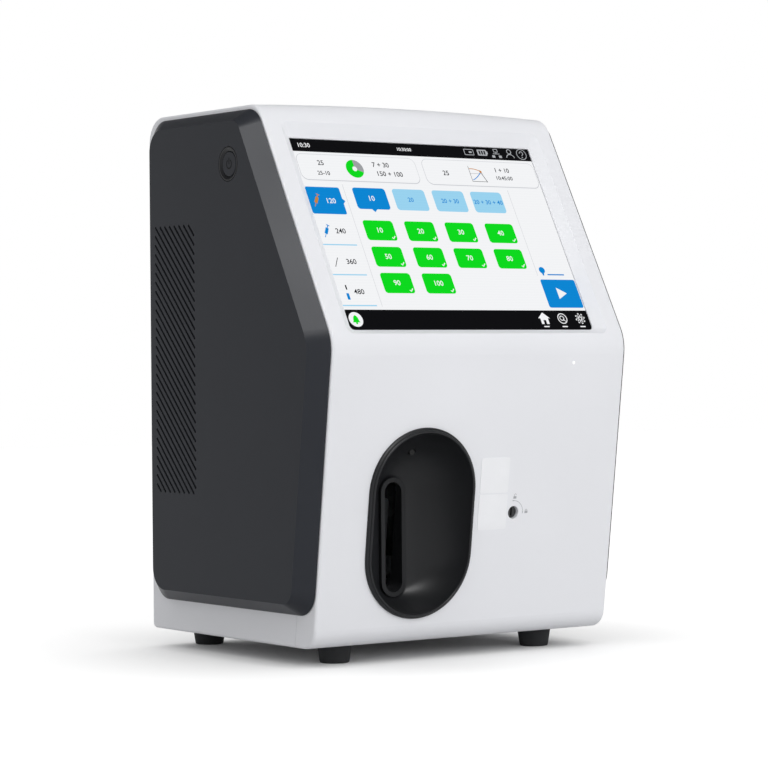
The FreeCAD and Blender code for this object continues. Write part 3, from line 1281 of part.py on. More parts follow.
def service_door():
    """The right cover, cut back behind its hinge axis and given knuckles about it."""
    shell = cover_shell(1)
    z = (FLOOR_Z, TOP_Z)
    rear = block((SIDE_X - OVERRUN, COVER_X + OVERRUN), (HINGE_Y, REAR_Y), z)
    shell = shell.cut(rear)
    swing = rod(Vector(HINGE_X, HINGE_Y, FLOOR_Z), UP, HINGE_STAND - DOOR_SWING_GAP, BODY_HEIGHT)
    inner = block((SIDE_X - OVERRUN, HINGE_X), (HINGE_Y - HINGE_STAND, HINGE_Y), z)
    shell = shell.cut(inner.cut(swing))
    knuckles = []
    notches = []
    for middle in hinge_heights():
        reach = HINGE_LENGTH / 2 + HINGE_END_GAP
        for start in (middle - reach - HINGE_KNUCKLE, middle + reach):
            knuckles.append(hinge_knuckle(start))
        notches.append(block((SIDE_X - OVERRUN, COVER_X + OVERRUN), (HINGE_Y - HINGE_NOTCH, REAR_Y),
                             around(middle, 2 * reach)))
    pin_holes = [rod(Vector(HINGE_X, HINGE_Y, middle - HINGE_LENGTH), UP, HINGE_PIN_RADIUS + HINGE_PIN_FIT,
                     2 * HINGE_LENGTH) for middle in hinge_heights()]
    return shell.fuse(knuckles).cut(notches + pin_holes)


def hinge_knuckle(start):
    """One of the door's knuckles, with an arm that reaches forward into the cover's skin."""
    barrel = rod(Vector(HINGE_X, HINGE_Y, start), UP, HINGE_BARREL_RADIUS, HINGE_KNUCKLE)
    arm = block((HINGE_X, HINGE_X + HINGE_BARREL_RADIUS), (HINGE_Y - HINGE_NOTCH - COVER_WALL, HINGE_Y),
                (start, start + HINGE_KNUCKLE))
    return barrel.fuse(arm.common(cover_dome(1, 0)))


def hinge_bracket(middle):
    """A hinge bracket on the housing's right side, with its barrel between the door's knuckles."""
    start = middle - HINGE_LENGTH / 2
    barrel = rod(Vector(HINGE_X, HINGE_Y, start), UP, HINGE_BARREL_RADIUS - HINGE_END_GAP, HINGE_LENGTH)
    leaf = block((SIDE_X, HINGE_X), around(HINGE_Y, HINGE_LEAF), (start, start + HINGE_LENGTH))
    bore = rod(Vector(HINGE_X, HINGE_Y, start - OVERRUN), UP, HINGE_PIN_RADIUS + HINGE_PIN_SEAT,
               HINGE_LENGTH + 2 * OVERRUN)
    return barrel.fuse(leaf).cut(bore)


def hinge_pin(middle):
    """A steel pin through a bracket and the knuckles on both sides of it."""
    half = HINGE_LENGTH / 2 + HINGE_END_GAP + HINGE_KNUCKLE
    return rod(Vector(HINGE_X, HINGE_Y, middle - half), UP, HINGE_PIN_RADIUS, 2 * half)


# Service bay

def cartridge_tray():
    """The tray with two rails that carries the reagent cartridge."""
    y = (FRONT_Y + BAY_FRONT_SETBACK, FRONT_Y + BAY_FRONT_SETBACK + BAY_DEPTH)
    x = (CARTRIDGE_X, CARTRIDGE_X + CARTRIDGE_LENGTH)
    tray_z = cartridge_foot() - TRAY_SHEET - CARTRIDGE_FIT
    sheet = block(x, y, (tray_z, tray_z + TRAY_SHEET))
    rail_z = (tray_z, tray_z + TRAY_RAIL_HEIGHT)
    rails = [block(x, (y[0], y[0] + TRAY_SHEET), rail_z), block(x, (y[1] - TRAY_SHEET, y[1]), rail_z)]
    legs = [block((x[0] + inset_x, x[0] + inset_x + TRAY_RAIL_HEIGHT), y, (DECK_Z, tray_z))
            for inset_x in (0, CARTRIDGE_LENGTH - TRAY_RAIL_HEIGHT)]
    return sheet.fuse(rails + legs)


def cartridge_foot():
    """The height of the cartridge's underside, clear of the doorway's sill."""
    return BAY_FOOT_Z + CARTRIDGE_GAP


def reagent_cartridge():
    """The box of reagents and waste, with a grip recess in the face that looks out of the doorway."""
    margin = TRAY_SHEET + CARTRIDGE_FIT
    y = (FRONT_Y + BAY_FRONT_SETBACK + margin, FRONT_Y + BAY_FRONT_SETBACK + BAY_DEPTH - margin)
    z = (cartridge_foot(), BAY_TOP_Z - CARTRIDGE_GAP)
    x = (CARTRIDGE_X, CARTRIDGE_X + CARTRIDGE_LENGTH)
    body = prism(rounded(y, z, CARTRIDGE_CORNER, at_x(x[0])), TO_RIGHT * (x[1] - x[0]))
    middle_y = (y[0] + y[1]) / 2
    middle_z = (z[0] + z[1]) / 2
    grip = prism(rounded(around(middle_y, CARTRIDGE_GRIP_WIDTH), around(middle_z, CARTRIDGE_GRIP_HEIGHT),
                         CARTRIDGE_CORNER, at_x(x[1] - CARTRIDGE_GRIP_DEPTH)),
                 TO_RIGHT * (CARTRIDGE_GRIP_DEPTH + OVERRUN))
    return body.cut(grip)


# Chassis

def chassis_tray():
    """The folded steel tray on the housing's floor."""
    x = around(0, 2 * (INSIDE_X - CHASSIS_SIDE_GAP))
    y = (FRONT_Y + CHASSIS_FRONT_SETBACK, REAR_Y - CHASSIS_REAR_GAP)
    sheet = block(x, y, (TRAY_Z, DECK_Z))
    flange_z = (TRAY_Z, TRAY_Z + CHASSIS_FLANGE)
    flange = block((x[0], x[0] + CHASSIS_SHEET), y, flange_z)
    holes = [rod(Vector(px, py, TRAY_Z - OVERRUN), UP, FOOT_SCREW_RADIUS, CHASSIS_SHEET + 2 * OVERRUN)
             for px, py in foot_places()]
    return sheet.fuse(flange).cut(holes)


def chassis_wall():
    """The upright wall between the fluid side and the electronics."""
    x = around(0, 2 * (INSIDE_X - WALL_SIDE_GAP))
    sheet = block(x, (WALL_FACE_Y, WALL_BACK_Y), (DECK_Z, FLOOR_Z + WALL_HEIGHT))
    foot_sheet = block(x, (WALL_FACE_Y, WALL_FACE_Y + WALL_FOOT), (DECK_Z, DECK_Z + CHASSIS_SHEET))
    pump = pump_place()
    shaft_hole = rod(pump + TO_FRONT * OVERRUN, TO_BACK, PUMP_SHAFT_RADIUS + SHAFT_FIT,
                     CHASSIS_SHEET + 2 * OVERRUN)
    return sheet.fuse(foot_sheet).cut(shaft_hole)


# Electronics

def power_supply():
    """The switched power supply in its slotted steel case."""
    x0 = -INSIDE_X + SUPPLY_SIDE_GAP
    y0, y1 = WALL_BACK_Y + SUPPLY_WALL_GAP, REAR_Y - SUPPLY_REAR_GAP
    body = block((x0, x0 + SUPPLY_WIDTH), (y0, y1), (DECK_Z, DECK_Z + SUPPLY_HEIGHT))
    top = DECK_Z + SUPPLY_HEIGHT
    first = x0 + (SUPPLY_WIDTH - (SUPPLY_SLOT_COUNT - 1) * SUPPLY_SLOT_PITCH) / 2
    slots = [block(around(first + index * SUPPLY_SLOT_PITCH, SUPPLY_SLOT),
                   (y0 + SUPPLY_SLOT_PITCH, y1 - SUPPLY_SLOT_PITCH),
                   (top - SUPPLY_SLOT_DEPTH, top + OVERRUN)) for index in range(SUPPLY_SLOT_COUNT)]
    return body.cut(slots)


def board_spans():
    """The main board's spans across and up the wall."""
    foot_z = FLOOR_Z + BOARD_FOOT_HEIGHT
    return (BOARD_LEFT_X, BOARD_LEFT_X + BOARD_WIDTH), (foot_z, foot_z + BOARD_HEIGHT)


def board_corners():
    """The board's four fixing points."""
    x, z = board_spans()
    return [(px, pz) for px in (x[0] + BOARD_SPACER_INSET, x[1] - BOARD_SPACER_INSET)
            for pz in (z[0] + BOARD_SPACER_INSET, z[1] - BOARD_SPACER_INSET)]


def board_spacer(x, z):
    """One of the sleeves between the wall and the main board."""
    return pipe(Vector(x, WALL_BACK_Y, z), TO_BACK, BOARD_SPACER_RADIUS, BOARD_SCREW_RADIUS, BOARD_SPACER)


def main_board():
    """The main board with its larger parts."""
    x, z = board_spans()
    y0 = WALL_BACK_Y + BOARD_SPACER
    board = block(x, (y0, y0 + BOARD_THICKNESS), z)
    holes = [rod(Vector(px, y0 - OVERRUN, pz), TO_BACK, BOARD_SCREW_RADIUS, BOARD_THICKNESS + 2 * OVERRUN)
             for px, pz in board_corners()]
    y1 = y0 + BOARD_THICKNESS
    chip = block(around((x[0] + x[1]) / 2, CHIP_SIZE), (y1, y1 + CHIP_HEIGHT),
                 around((z[0] + z[1]) / 2, CHIP_SIZE))
    return board.cut(holes).fuse(chip)


# Rear panel and what it carries

def connector_rows():
    """The heights of the connector panel's two rows of fixing points."""
    return [FLOOR_Z + PANEL_FOOT_MARGIN + PANEL_SCREW_INSET, PANEL_SPLIT_Z - PANEL_SCREW_INSET]


def rear_rows():
    """The heights of the rear panel's three rows of fixing points."""
    foot_z = PANEL_SPLIT_Z + PANEL_SCREW_INSET
    top_z = TOP_Z - PANEL_TOP_MARGIN - PANEL_SCREW_INSET
    return [foot_z, (foot_z + top_z) / 2, top_z]


def fixing_points(rows):
    """The fixing points at both sides in some rows, across and up."""
    across = SIDE_X - PANEL_SIDE_MARGIN - PANEL_SCREW_INSET
    return [(x, z) for x in (-across, across) for z in rows]


def panel_screw_places():
    """All fixing points of both panels, across and up."""
    return fixing_points(connector_rows() + rear_rows())


def panel_screw(x, z):
    """A countersunk screw, flush with its panel."""
    head = Part.makeCone(PANEL_SCREW_HEAD_RADIUS, PANEL_SCREW_RADIUS, PANEL_SCREW_HEAD_HEIGHT,
                         Vector(x, REAR_Y, z), TO_FRONT)
    return head.fuse(rod(Vector(x, REAR_Y, z), TO_FRONT, PANEL_SCREW_RADIUS, PANEL_SCREW_LENGTH))


def screw_sink(x, z):
    """The countersunk hole for a panel screw."""
    grow = PANEL_SCREW_CLEARANCE
    cone = Part.makeCone(PANEL_SCREW_HEAD_RADIUS + grow, PANEL_SCREW_RADIUS + grow, PANEL_SCREW_HEAD_HEIGHT,
                         Vector(x, REAR_Y, z), TO_FRONT)
    return cone.fuse(rod(Vector(x, REAR_Y, z), TO_FRONT, PANEL_SCREW_RADIUS + grow, PANEL_SHEET + OVERRUN))


def grille_slots():
    """The upright slots in front of the fan, each as tall as the fan's circle there."""
    centre = fan_place()
    reach = FAN_BORE_RADIUS - GRILLE_SLOT
    count = int(reach / GRILLE_PITCH)
    slots = []
    for index in range(-count, count + 1):
        x = index * GRILLE_PITCH
        half = math.sqrt(reach ** 2 - x ** 2)
        wire = oval((centre.x + x, centre.z), GRILLE_SLOT / 2, max(half, GRILLE_SLOT), at_y(REAR_Y + OVERRUN))
        slots.append(prism(wire, TO_FRONT * (PANEL_SHEET + 2 * OVERRUN)))
    return slots


def panel_plate(low, high):
    """The stretch of the plates' outline between two heights."""
    x = around(0, BODY_WIDTH - 2 * PANEL_SIDE_MARGIN - 2 * PANEL_FIT)
    z = (FLOOR_Z + PANEL_FOOT_MARGIN + PANEL_FIT, TOP_Z - PANEL_TOP_MARGIN - PANEL_FIT)
    plate = prism(rounded(x, z, PANEL_CORNER - PANEL_FIT, at_y(PANEL_Y)), TO_BACK * PANEL_SHEET)
    return plate.common(block(x, (PANEL_Y, REAR_Y), (low, high)))


def rear_panel():
    """The steel rear panel with its grille."""
    plate = panel_plate(PANEL_SPLIT_Z + PANEL_FIT / 2, TOP_Z)
    holes = [screw_sink(px, pz) for px, pz in fixing_points(rear_rows())]
    holes += [rod(Vector(px, PANEL_Y - OVERRUN, pz), TO_BACK, FAN_HOLE_RADIUS, PANEL_SHEET + 2 * OVERRUN)
              for px, pz in fan_corners()]
    return plate.cut(holes + grille_slots())


def connector_panel():
    """The steel plate below the rear panel, with the cut-outs for the mains inlet and the data sockets."""
    plate = panel_plate(FLOOR_Z, PANEL_SPLIT_Z - PANEL_FIT / 2)
    y = (PANEL_Y - OVERRUN, REAR_Y + OVERRUN)
    inlet = block(around(INLET_X, INLET_WIDTH + 2 * SOCKET_FIT), y,
                  around(FLOOR_Z + INLET_HEIGHT, INLET_TALL + 2 * SOCKET_FIT))
    sockets = [block(around(px, SOCKET_OUTER + 2 * SOCKET_FIT), y,
                     around(FLOOR_Z + SOCKET_HEIGHT, SOCKET_TALL + 2 * SOCKET_FIT)) for px in socket_places()]
    holes = [screw_sink(px, pz) for px, pz in fixing_points(connector_rows())]
    return plate.cut([inlet] + sockets + holes)


def power_inlet():
    """The mains inlet: a flanged socket with three blades, held from inside the panel."""
    z0 = FLOOR_Z + INLET_HEIGHT
    outer = block(around(INLET_X, INLET_WIDTH), (REAR_Y - INLET_DEPTH, REAR_Y), around(z0, INLET_TALL))
    flange = block(around(INLET_X, INLET_WIDTH + 2 * INLET_FLANGE),
                   (PANEL_Y - INLET_FLANGE_SHEET, PANEL_Y), around(z0, INLET_TALL + 2 * INLET_FLANGE))
    cavity = block(around(INLET_X, INLET_WIDTH - 2 * INLET_WALL), (REAR_Y - INLET_CAVITY, REAR_Y + OVERRUN),
                   around(z0, INLET_TALL - 2 * INLET_WALL))
    y = (REAR_Y - INLET_CAVITY, REAR_Y - INLET_CAVITY + INLET_PIN_LENGTH)
    places = [(INLET_X - INLET_PIN_SPACING / 2, z0 - INLET_PIN_RISE / 2),
              (INLET_X + INLET_PIN_SPACING / 2, z0 - INLET_PIN_RISE / 2), (INLET_X, z0 + INLET_PIN_RISE)]
    blades = [block(around(px, INLET_PIN_THICKNESS), y, around(pz, INLET_PIN_WIDTH)) for px, pz in places]
    return outer.fuse(flange).cut(cavity).fuse(blades)


def socket_places():
    """The middles of the data sockets."""
    return [SOCKET_X + index * SOCKET_PITCH for index in range(SOCKET_COUNT)]


def data_sockets():
    """The row of network and data sockets on their carrier behind the connector panel."""
    z0 = FLOOR_Z + SOCKET_HEIGHT
    bodies = [block(around(px, SOCKET_OUTER), (REAR_Y - SOCKET_DEPTH, REAR_Y), around(z0, SOCKET_TALL))
              for px in socket_places()]
    ends = (SOCKET_X - SOCKET_OUTER / 2 - SOCKET_CARRIER,
            SOCKET_X + (SOCKET_COUNT - 1) * SOCKET_PITCH + SOCKET_OUTER / 2 + SOCKET_CARRIER)
    carrier = block(ends, (PANEL_Y - SOCKET_CARRIER, PANEL_Y), around(z0, SOCKET_TALL + 2 * SOCKET_CARRIER))
    hollows = [block(around(px, SOCKET_OUTER - 2 * SOCKET_WALL), (REAR_Y - SOCKET_CAVITY, REAR_Y + OVERRUN),
                     around(z0, SOCKET_TALL - 2 * SOCKET_WALL)) for px in socket_places()]
    return carrier.fuse(bodies).cut(hollows)


# Fan

def fan_place():
    """The fan's axis at the front face of the rear panel."""
    return Vector(FAN_X, PANEL_Y, FLOOR_Z + FAN_HEIGHT)


def fan_corners():
    """The fan's four screw holes, across and up."""
    centre = fan_place()
    reach = FAN_SIZE / 2 - FAN_HOLE_INSET
    return [(centre.x + x, centre.z + z) for x in (-reach, reach) for z in (-reach, reach)]


def fan_frame():
    """The fan's square frame, with the struts and the pin that carry the rotor."""
    centre = fan_place()
    back = TO_FRONT * FAN_DEPTH
    frame = prism(rounded(around(centre.x, FAN_SIZE), around(centre.z, FAN_SIZE), FAN_CORNER, at_y(centre.y)), back)
    bore = rod(centre + TO_BACK * OVERRUN, TO_FRONT, FAN_BORE_RADIUS, FAN_DEPTH + 2 * OVERRUN)
    holes = [rod(Vector(x, centre.y + OVERRUN, z), TO_FRONT, FAN_HOLE_RADIUS, FAN_DEPTH + 2 * OVERRUN)
             for x, z in fan_corners()]
    frame = frame.cut([bore] + holes)
    y = (centre.y - FAN_STATOR_SHEET, centre.y)
    level = block(around(centre.x, 2 * FAN_BORE_RADIUS), y, around(centre.z, FAN_STRUT_WIDTH))
    upright = block(around(centre.x, FAN_STRUT_WIDTH), y, around(centre.z, 2 * FAN_BORE_RADIUS))
    plate = rod(centre, TO_FRONT, FAN_HUB_RADIUS, FAN_STATOR_SHEET)
    pin = rod(centre, TO_FRONT, FAN_PIN_RADIUS, FAN_DEPTH - FAN_STATOR_SHEET)
    return frame.fuse([level, upright, plate, pin])


def fan_rotor():
    """The fan's hub and pitched blades, turning on the frame's pin."""
    centre = fan_place()
    start = centre + TO_FRONT * (FAN_STATOR_SHEET + FAN_TIP_GAP)
    tip = FAN_BORE_RADIUS - FAN_TIP_GAP
    hub = rod(start, TO_FRONT, FAN_HUB_RADIUS, FAN_ROTOR_DEPTH)
    middle = start + TO_FRONT * (FAN_ROTOR_DEPTH / 2)
    long_side = (FAN_ROTOR_DEPTH - 2 * FAN_TIP_GAP) / math.cos(math.radians(FAN_BLADE_PITCH))
    blades = []
    for index in range(FAN_BLADES):
        blade = block((-FAN_BLADE_THICKNESS / 2, FAN_BLADE_THICKNESS / 2), around(0, long_side), (0, 2 * tip))
        blade.rotate(Vector(0, 0, 0), UP, FAN_BLADE_PITCH)
        blade.rotate(Vector(0, 0, 0), TO_BACK, index * FULL_TURN / FAN_BLADES)
        blade.translate(middle)
        blades.append(blade)
    disc = rod(start, TO_FRONT, tip, FAN_ROTOR_DEPTH)
    pin_hole = rod(centre, TO_FRONT, FAN_PIN_RADIUS + FAN_PIN_FIT, FAN_DEPTH)
    return hub.fuse([blade.common(disc) for blade in blades]).cut(pin_hole)


# Fluid side

def pump_place():
    """The pump's axis at the front face of the chassis wall."""
    return Vector(PUMP_X, WALL_FACE_Y, FLOOR_Z + PUMP_HEIGHT)


def rotor_back():
    """How far back the pump's rotor reaches."""
    return WALL_FACE_Y - PUMP_DEPTH + PUMP_CAVITY_DEPTH - PUMP_TUBE_GAP


def fluid_y():
    """The depth at which the pump's tube, the sample channel and the lines run."""
    return rotor_back() - PUMP_DISC_THICKNESS - PUMP_ROLLER_LENGTH / 2


def pump_head():
    """The pump's block with the round cavity for its rollers and tube."""
    place = pump_place()
    front = place.y - PUMP_DEPTH
    body = prism(rounded(around(place.x, PUMP_SIZE), around(place.z, PUMP_SIZE), PUMP_CORNER, at_y(front)),
                 TO_BACK * PUMP_DEPTH)
    start = Vector(place.x, front - OVERRUN, place.z)
    reach = PUMP_TUBE_CIRCLE + PUMP_TUBE_RADIUS + PUMP_TUBE_SEAT
    cavity = rod(start, TO_BACK, reach, PUMP_CAVITY_DEPTH + OVERRUN)
    shaft_hole = rod(start, TO_BACK, PUMP_SHAFT_RADIUS + SHAFT_FIT, PUMP_DEPTH + 2 * OVERRUN)
    mouth = block(around(place.x, 2 * reach), (front - OVERRUN, front + PUMP_CAVITY_DEPTH),
                  (place.z - PUMP_SIZE, place.z))
    return body.cut([cavity, shaft_hole, mouth])


def pump_rotor():
    """The pump's rotor: two discs, a hub and the rollers between them."""
    start = Vector(pump_place().x, rotor_back(), pump_place().z)
    length = PUMP_ROLLER_LENGTH + 2 * PUMP_DISC_THICKNESS
    front_disc = start + TO_FRONT * (length - PUMP_DISC_THICKNESS)
    pieces = [rod(start, TO_FRONT, PUMP_DISC_RADIUS, PUMP_DISC_THICKNESS),
              rod(front_disc, TO_FRONT, PUMP_DISC_RADIUS, PUMP_DISC_THICKNESS)]
    for index in range(PUMP_ROLLER_COUNT):
        angle = math.radians(index * FULL_TURN / PUMP_ROLLER_COUNT)
        offset = Vector(math.cos(angle), 0, math.sin(angle)) * PUMP_ROLLER_CIRCLE
        pieces.append(rod(start + offset, TO_FRONT, PUMP_ROLLER_RADIUS, length))
    hub = rod(start, TO_FRONT, PUMP_HUB_RADIUS, length)
    bore = rod(start + TO_BACK * OVERRUN, TO_FRONT, PUMP_SHAFT_RADIUS, length + 2 * OVERRUN)
    return hub.fuse(pieces).cut(bore)


def pump_shaft():
    """The shaft from the pump's motor through the wall to its rotor."""
    place = pump_place()
    front = rotor_back() - PUMP_ROLLER_LENGTH - 2 * PUMP_DISC_THICKNESS
    end = WALL_BACK_Y + PUMP_MOTOR_LENGTH / 2
    return rod(Vector(place.x, front, place.z), TO_BACK, PUMP_SHAFT_RADIUS, end - front)


def pump_motor():
    """The pump's motor behind the wall."""
    place = pump_place()
    body = rod(Vector(place.x, WALL_BACK_Y, place.z), TO_BACK, PUMP_MOTOR_RADIUS, PUMP_MOTOR_LENGTH)
    bore = rod(Vector(place.x, WALL_BACK_Y - OVERRUN, place.z), TO_BACK, PUMP_SHAFT_RADIUS + SHAFT_FIT,
               PUMP_MOTOR_LENGTH / 2 + OVERRUN + SHAFT_FIT)
    return body.cut(bore)


def pump_tube_end(side):
    """The middle of one lower end of the pump's tube, on the left or the right."""
    place = pump_place()
    return Vector(place.x + side * PUMP_TUBE_CIRCLE, fluid_y(), place.z - PUMP_SIZE / 2)


def pump_tube():
    """The pump's elastic tube: a half turn over the rollers with both ends running down."""
    rise = UP * (PUMP_SIZE / 2)
    foot_left = pump_tube_end(-1)
    foot_right = pump_tube_end(1)
    left = foot_left + rise
    right = foot_right + rise
    top = (left + right) / 2 + UP * PUMP_TUBE_CIRCLE
    path = Part.Wire([Part.LineSegment(foot_left, left).toShape(), Part.Arc(left, top, right).toShape(),
                      Part.LineSegment(right, foot_right).toShape()])
    return swept(path, foot_left, UP, PUMP_TUBE_RADIUS).cut(swept(path, foot_left, UP, PUMP_TUBE_BORE))


def swept(path, start, heading, radius):
    """A round bar that follows a wire of straight runs joined by tangent arcs."""
    ring = Part.Wire([Part.Circle(start, heading, radius).toShape()])
    return path.makePipeShell([ring], True, False)


def measuring_cell():
    """The measuring cell: a block with one sample channel and a bore for each sensor."""
    front = WALL_FACE_Y - CELL_DEPTH
    body = prism(rounded(around(CELL_X, CELL_WIDTH), around(CELL_Z, CELL_TALL), CELL_CORNER, at_y(WALL_FACE_Y)),
                 TO_FRONT * CELL_DEPTH)
    channel = rod(Vector(CELL_X - CELL_WIDTH / 2 - OVERRUN, fluid_y(), CELL_Z), TO_RIGHT, CHANNEL_RADIUS,
                  CELL_WIDTH + 2 * OVERRUN)
    bores = [rod(Vector(x, front - OVERRUN, CELL_Z), TO_BACK, SENSOR_RADIUS + SENSOR_FIT, SENSOR_BITE + OVERRUN)
             for x in sensor_places()]
    return body.cut([channel] + bores)


def sensor_places():
    """The middles of the sensors along the sample channel."""
    first = CELL_X - SENSOR_PITCH * (SENSOR_COUNT - 1) / 2
    return [first + index * SENSOR_PITCH for index in range(SENSOR_COUNT)]


def sensor(x):
    """One plug-in sensor in the measuring cell's face."""
    bottom = WALL_FACE_Y - CELL_DEPTH + SENSOR_BITE
    return rod(Vector(x, bottom, CELL_Z), TO_FRONT, SENSOR_RADIUS, SENSOR_LENGTH)


def valve_x():
    """The middle of the valve block, which stands against the measuring cell."""
    return CELL_X - CELL_WIDTH / 2 - VALVE_BLOCK_WIDTH / 2


def valve_block():
    """The manifold in front of the measuring cell's inlet, with its own channel."""
    body = block(around(valve_x(), VALVE_BLOCK_WIDTH), (WALL_FACE_Y - VALVE_BLOCK_DEPTH, WALL_FACE_Y),
                 around(CELL_Z, VALVE_BLOCK_TALL))
    channel = rod(Vector(valve_x() - VALVE_BLOCK_WIDTH / 2 - OVERRUN, fluid_y(), CELL_Z), TO_RIGHT,
                  CHANNEL_RADIUS, VALVE_BLOCK_WIDTH + 2 * OVERRUN)
    return body.cut(channel)


def valve(index):
    """One solenoid valve standing on the manifold."""
    x = valve_x() + (index - (VALVE_COUNT - 1) / 2) * VALVE_PITCH
    return rod(Vector(x, WALL_FACE_Y - VALVE_BLOCK_DEPTH, CELL_Z), TO_FRONT, VALVE_RADIUS, VALVE_LENGTH)


def fluid_lines():
    """Three stiff tubes: pump to valves, measuring cell to cartridge, and cartridge to pump."""
    outlet = pump_tube_end(1)
    inlet = pump_tube_end(-1)
    block_port = Vector(valve_x() - VALVE_BLOCK_WIDTH / 2, fluid_y(), CELL_Z)
    cell_port = Vector(CELL_X + CELL_WIDTH / 2, fluid_y(), CELL_Z)
    to_valves = [outlet, outlet + DOWN * LINE_DROP, Vector(block_port.x - LINE_STEP, fluid_y(), outlet.z - LINE_DROP),
                 block_port + TO_LEFT * LINE_STEP, block_port]
    to_waste = [cell_port, cell_port + TO_RIGHT * LINE_REACH,
                Vector(cell_port.x + LINE_REACH, fluid_y(), BAY_TOP_Z - CARTRIDGE_GAP)]
    supply_z = inlet.z - LINE_TO_BAY_DROP
    to_pump = [inlet, Vector(inlet.x, fluid_y(), supply_z), Vector(CARTRIDGE_X, fluid_y(), supply_z)]
    return [fluid_line(points) for points in (to_valves, to_waste, to_pump)]


def fluid_line(points):
    """A tube through points, its corners rounded by tangent arcs."""
    edges = []
    last = points[0]
    for before, corner, after in zip(points, points[1:], points[2:]):
        back = (before - corner).normalize()
        ahead = (after - corner).normalize()
        half = back.getAngle(ahead) / 2
        enter = corner + back * (LINE_BEND / math.tan(half))
        leave = corner + ahead * (LINE_BEND / math.tan(half))
        middle = corner + (back + ahead).normalize() * (LINE_BEND / math.sin(half) - LINE_BEND)
        edges.append(Part.LineSegment(last, enter).toShape())
        edges.append(Part.Arc(enter, middle, leave).toShape())
        last = leave
    edges.append(Part.LineSegment(last, points[-1]).toShape())
    return swept(Part.Wire(edges), points[0], (points[1] - points[0]).normalize(), LINE_RADIUS)


# Every node of the analyzer, with the solids in it

def parts():
    """Node names with the shapes that each one holds."""
    return {
        "front_shell": [front_shell()],
        "main_shell": [main_shell()],
        "feet": [foot(x, y) for x, y in foot_places()],
        "foot_screws": [foot_screw(x, y) for x, y in foot_places()],
        "display_glass": [display_glass()],
        "lcd_panel": [lcd_panel()],
        "display_frame": [display_frame()],
        "display_screws": [display_screw(x, y) for x, y in frame_post_places()],
        "display_board": [display_board()],
        "status_lamp": [status_lamp()],
        "port_bezel": [port_bezel()],
        "port_lamp": [port_lamp()],
        "blank_labels": [blank_label(index) for index in range(2)],
        "sampler_arm": [sampler_arm()],
        "sample_needle": [sample_needle()],
        "sampler_bracket": [sampler_bracket()],
        "sampler_shaft": [sampler_shaft()],
        "sampler_gear": [sampler_gear()],
        "motor_pinion": [motor_pinion()],
        "motor_shaft": [motor_shaft()],
        "sampler_motor": [sampler_motor()],
        "lock_body": [lock_body()],
        "lock_core": [lock_core()],
        "lock_pinion": [lock_pinion()],
        "latch_bolt": [latch_bolt()],
        "bolt_guide": [bolt_guide()],
        "door_catch": [door_catch()],
        "left_cover": [left_cover()],
        "cover_screws": [cover_screw(y, z) for y, z in cover_screw_places()],
        "button_ring": [button_ring()],
        "power_button": [power_button()],
        "switch_plunger": [switch_plunger()],
        "button_switch": [button_switch()],
        "service_door": [service_door()],
        "hinge_brackets": [hinge_bracket(middle) for middle in hinge_heights()],
        "hinge_pins": [hinge_pin(middle) for middle in hinge_heights()],
        "cartridge_tray": [cartridge_tray()],
        "reagent_cartridge": [reagent_cartridge()],
        "chassis_tray": [chassis_tray()],
        "chassis_wall": [chassis_wall()],
        "power_supply": [power_supply()],
        "board_spacers": [board_spacer(x, z) for x, z in board_corners()],
        "main_board": [main_board()],
        "rear_panel": [rear_panel()],
        "connector_panel": [connector_panel()],
        "panel_screws": [panel_screw(x, z) for x, z in panel_screw_places()],
        "power_inlet": [power_inlet()],
        "data_sockets": [data_sockets()],
        "fan_frame": [fan_frame()],
        "fan_rotor": [fan_rotor()],
        "pump_head": [pump_head()],
        "pump_rotor": [pump_rotor()],
        "pump_shaft": [pump_shaft()],
        "pump_motor": [pump_motor()],
        "pump_tube": [pump_tube()],
        "measuring_cell": [measuring_cell()],
        "sensors": [sensor(x) for x in sensor_places()],
        "valve_block": [valve_block()],
        "valves": [valve(index) for index in range(VALVE_COUNT)],
        "fluid_lines": fluid_lines(),
    }


def save(name, shapes):
    """Writes one node's solids to its own file."""
    solids = [solid for shape in shapes for solid in shape.removeSplitter().Solids]
    node = solids[0] if len(solids) == 1 else Part.makeCompound(solids)
    node.exportStep("parts/" + name + ".step")
    box = node.BoundBox
    print(name, len(solids), "solids", round(node.Volume), node.isValid(),
          [round(value, 2) for value in (box.XMin, box.XMax, box.YMin, box.YMax, box.ZMin, box.ZMax)])


os.makedirs("parts", exist_ok=True)
for part_name, part_shapes in parts().items():
    save(part_name, part_shapes)
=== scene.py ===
import math

import bpy
import numpy as np
from mathutils import Matrix, Vector


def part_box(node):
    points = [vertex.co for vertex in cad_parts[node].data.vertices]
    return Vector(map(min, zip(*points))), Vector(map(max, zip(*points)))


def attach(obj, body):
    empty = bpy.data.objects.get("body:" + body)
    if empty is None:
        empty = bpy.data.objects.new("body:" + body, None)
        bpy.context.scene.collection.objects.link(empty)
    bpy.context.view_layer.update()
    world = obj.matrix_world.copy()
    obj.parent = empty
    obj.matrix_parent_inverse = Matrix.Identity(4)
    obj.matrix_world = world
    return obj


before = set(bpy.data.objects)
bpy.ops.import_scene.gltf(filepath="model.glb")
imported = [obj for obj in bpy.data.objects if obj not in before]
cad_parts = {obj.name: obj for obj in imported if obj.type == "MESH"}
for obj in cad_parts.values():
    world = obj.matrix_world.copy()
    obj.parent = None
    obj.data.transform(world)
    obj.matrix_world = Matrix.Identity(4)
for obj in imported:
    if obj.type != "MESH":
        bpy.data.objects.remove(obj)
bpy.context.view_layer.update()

# Looks of a bench-top blood gas analyzer. Sizes are in millimetres and are turned to metres where a
# mesh is made; the camera and the lamps are in metres. X runs to the user's right, Y to the back and
# Z up, as in the CAD model.

MM = 0.001
FULL_CIRCLE = 2 * math.pi
QUARTER = math.pi / 2

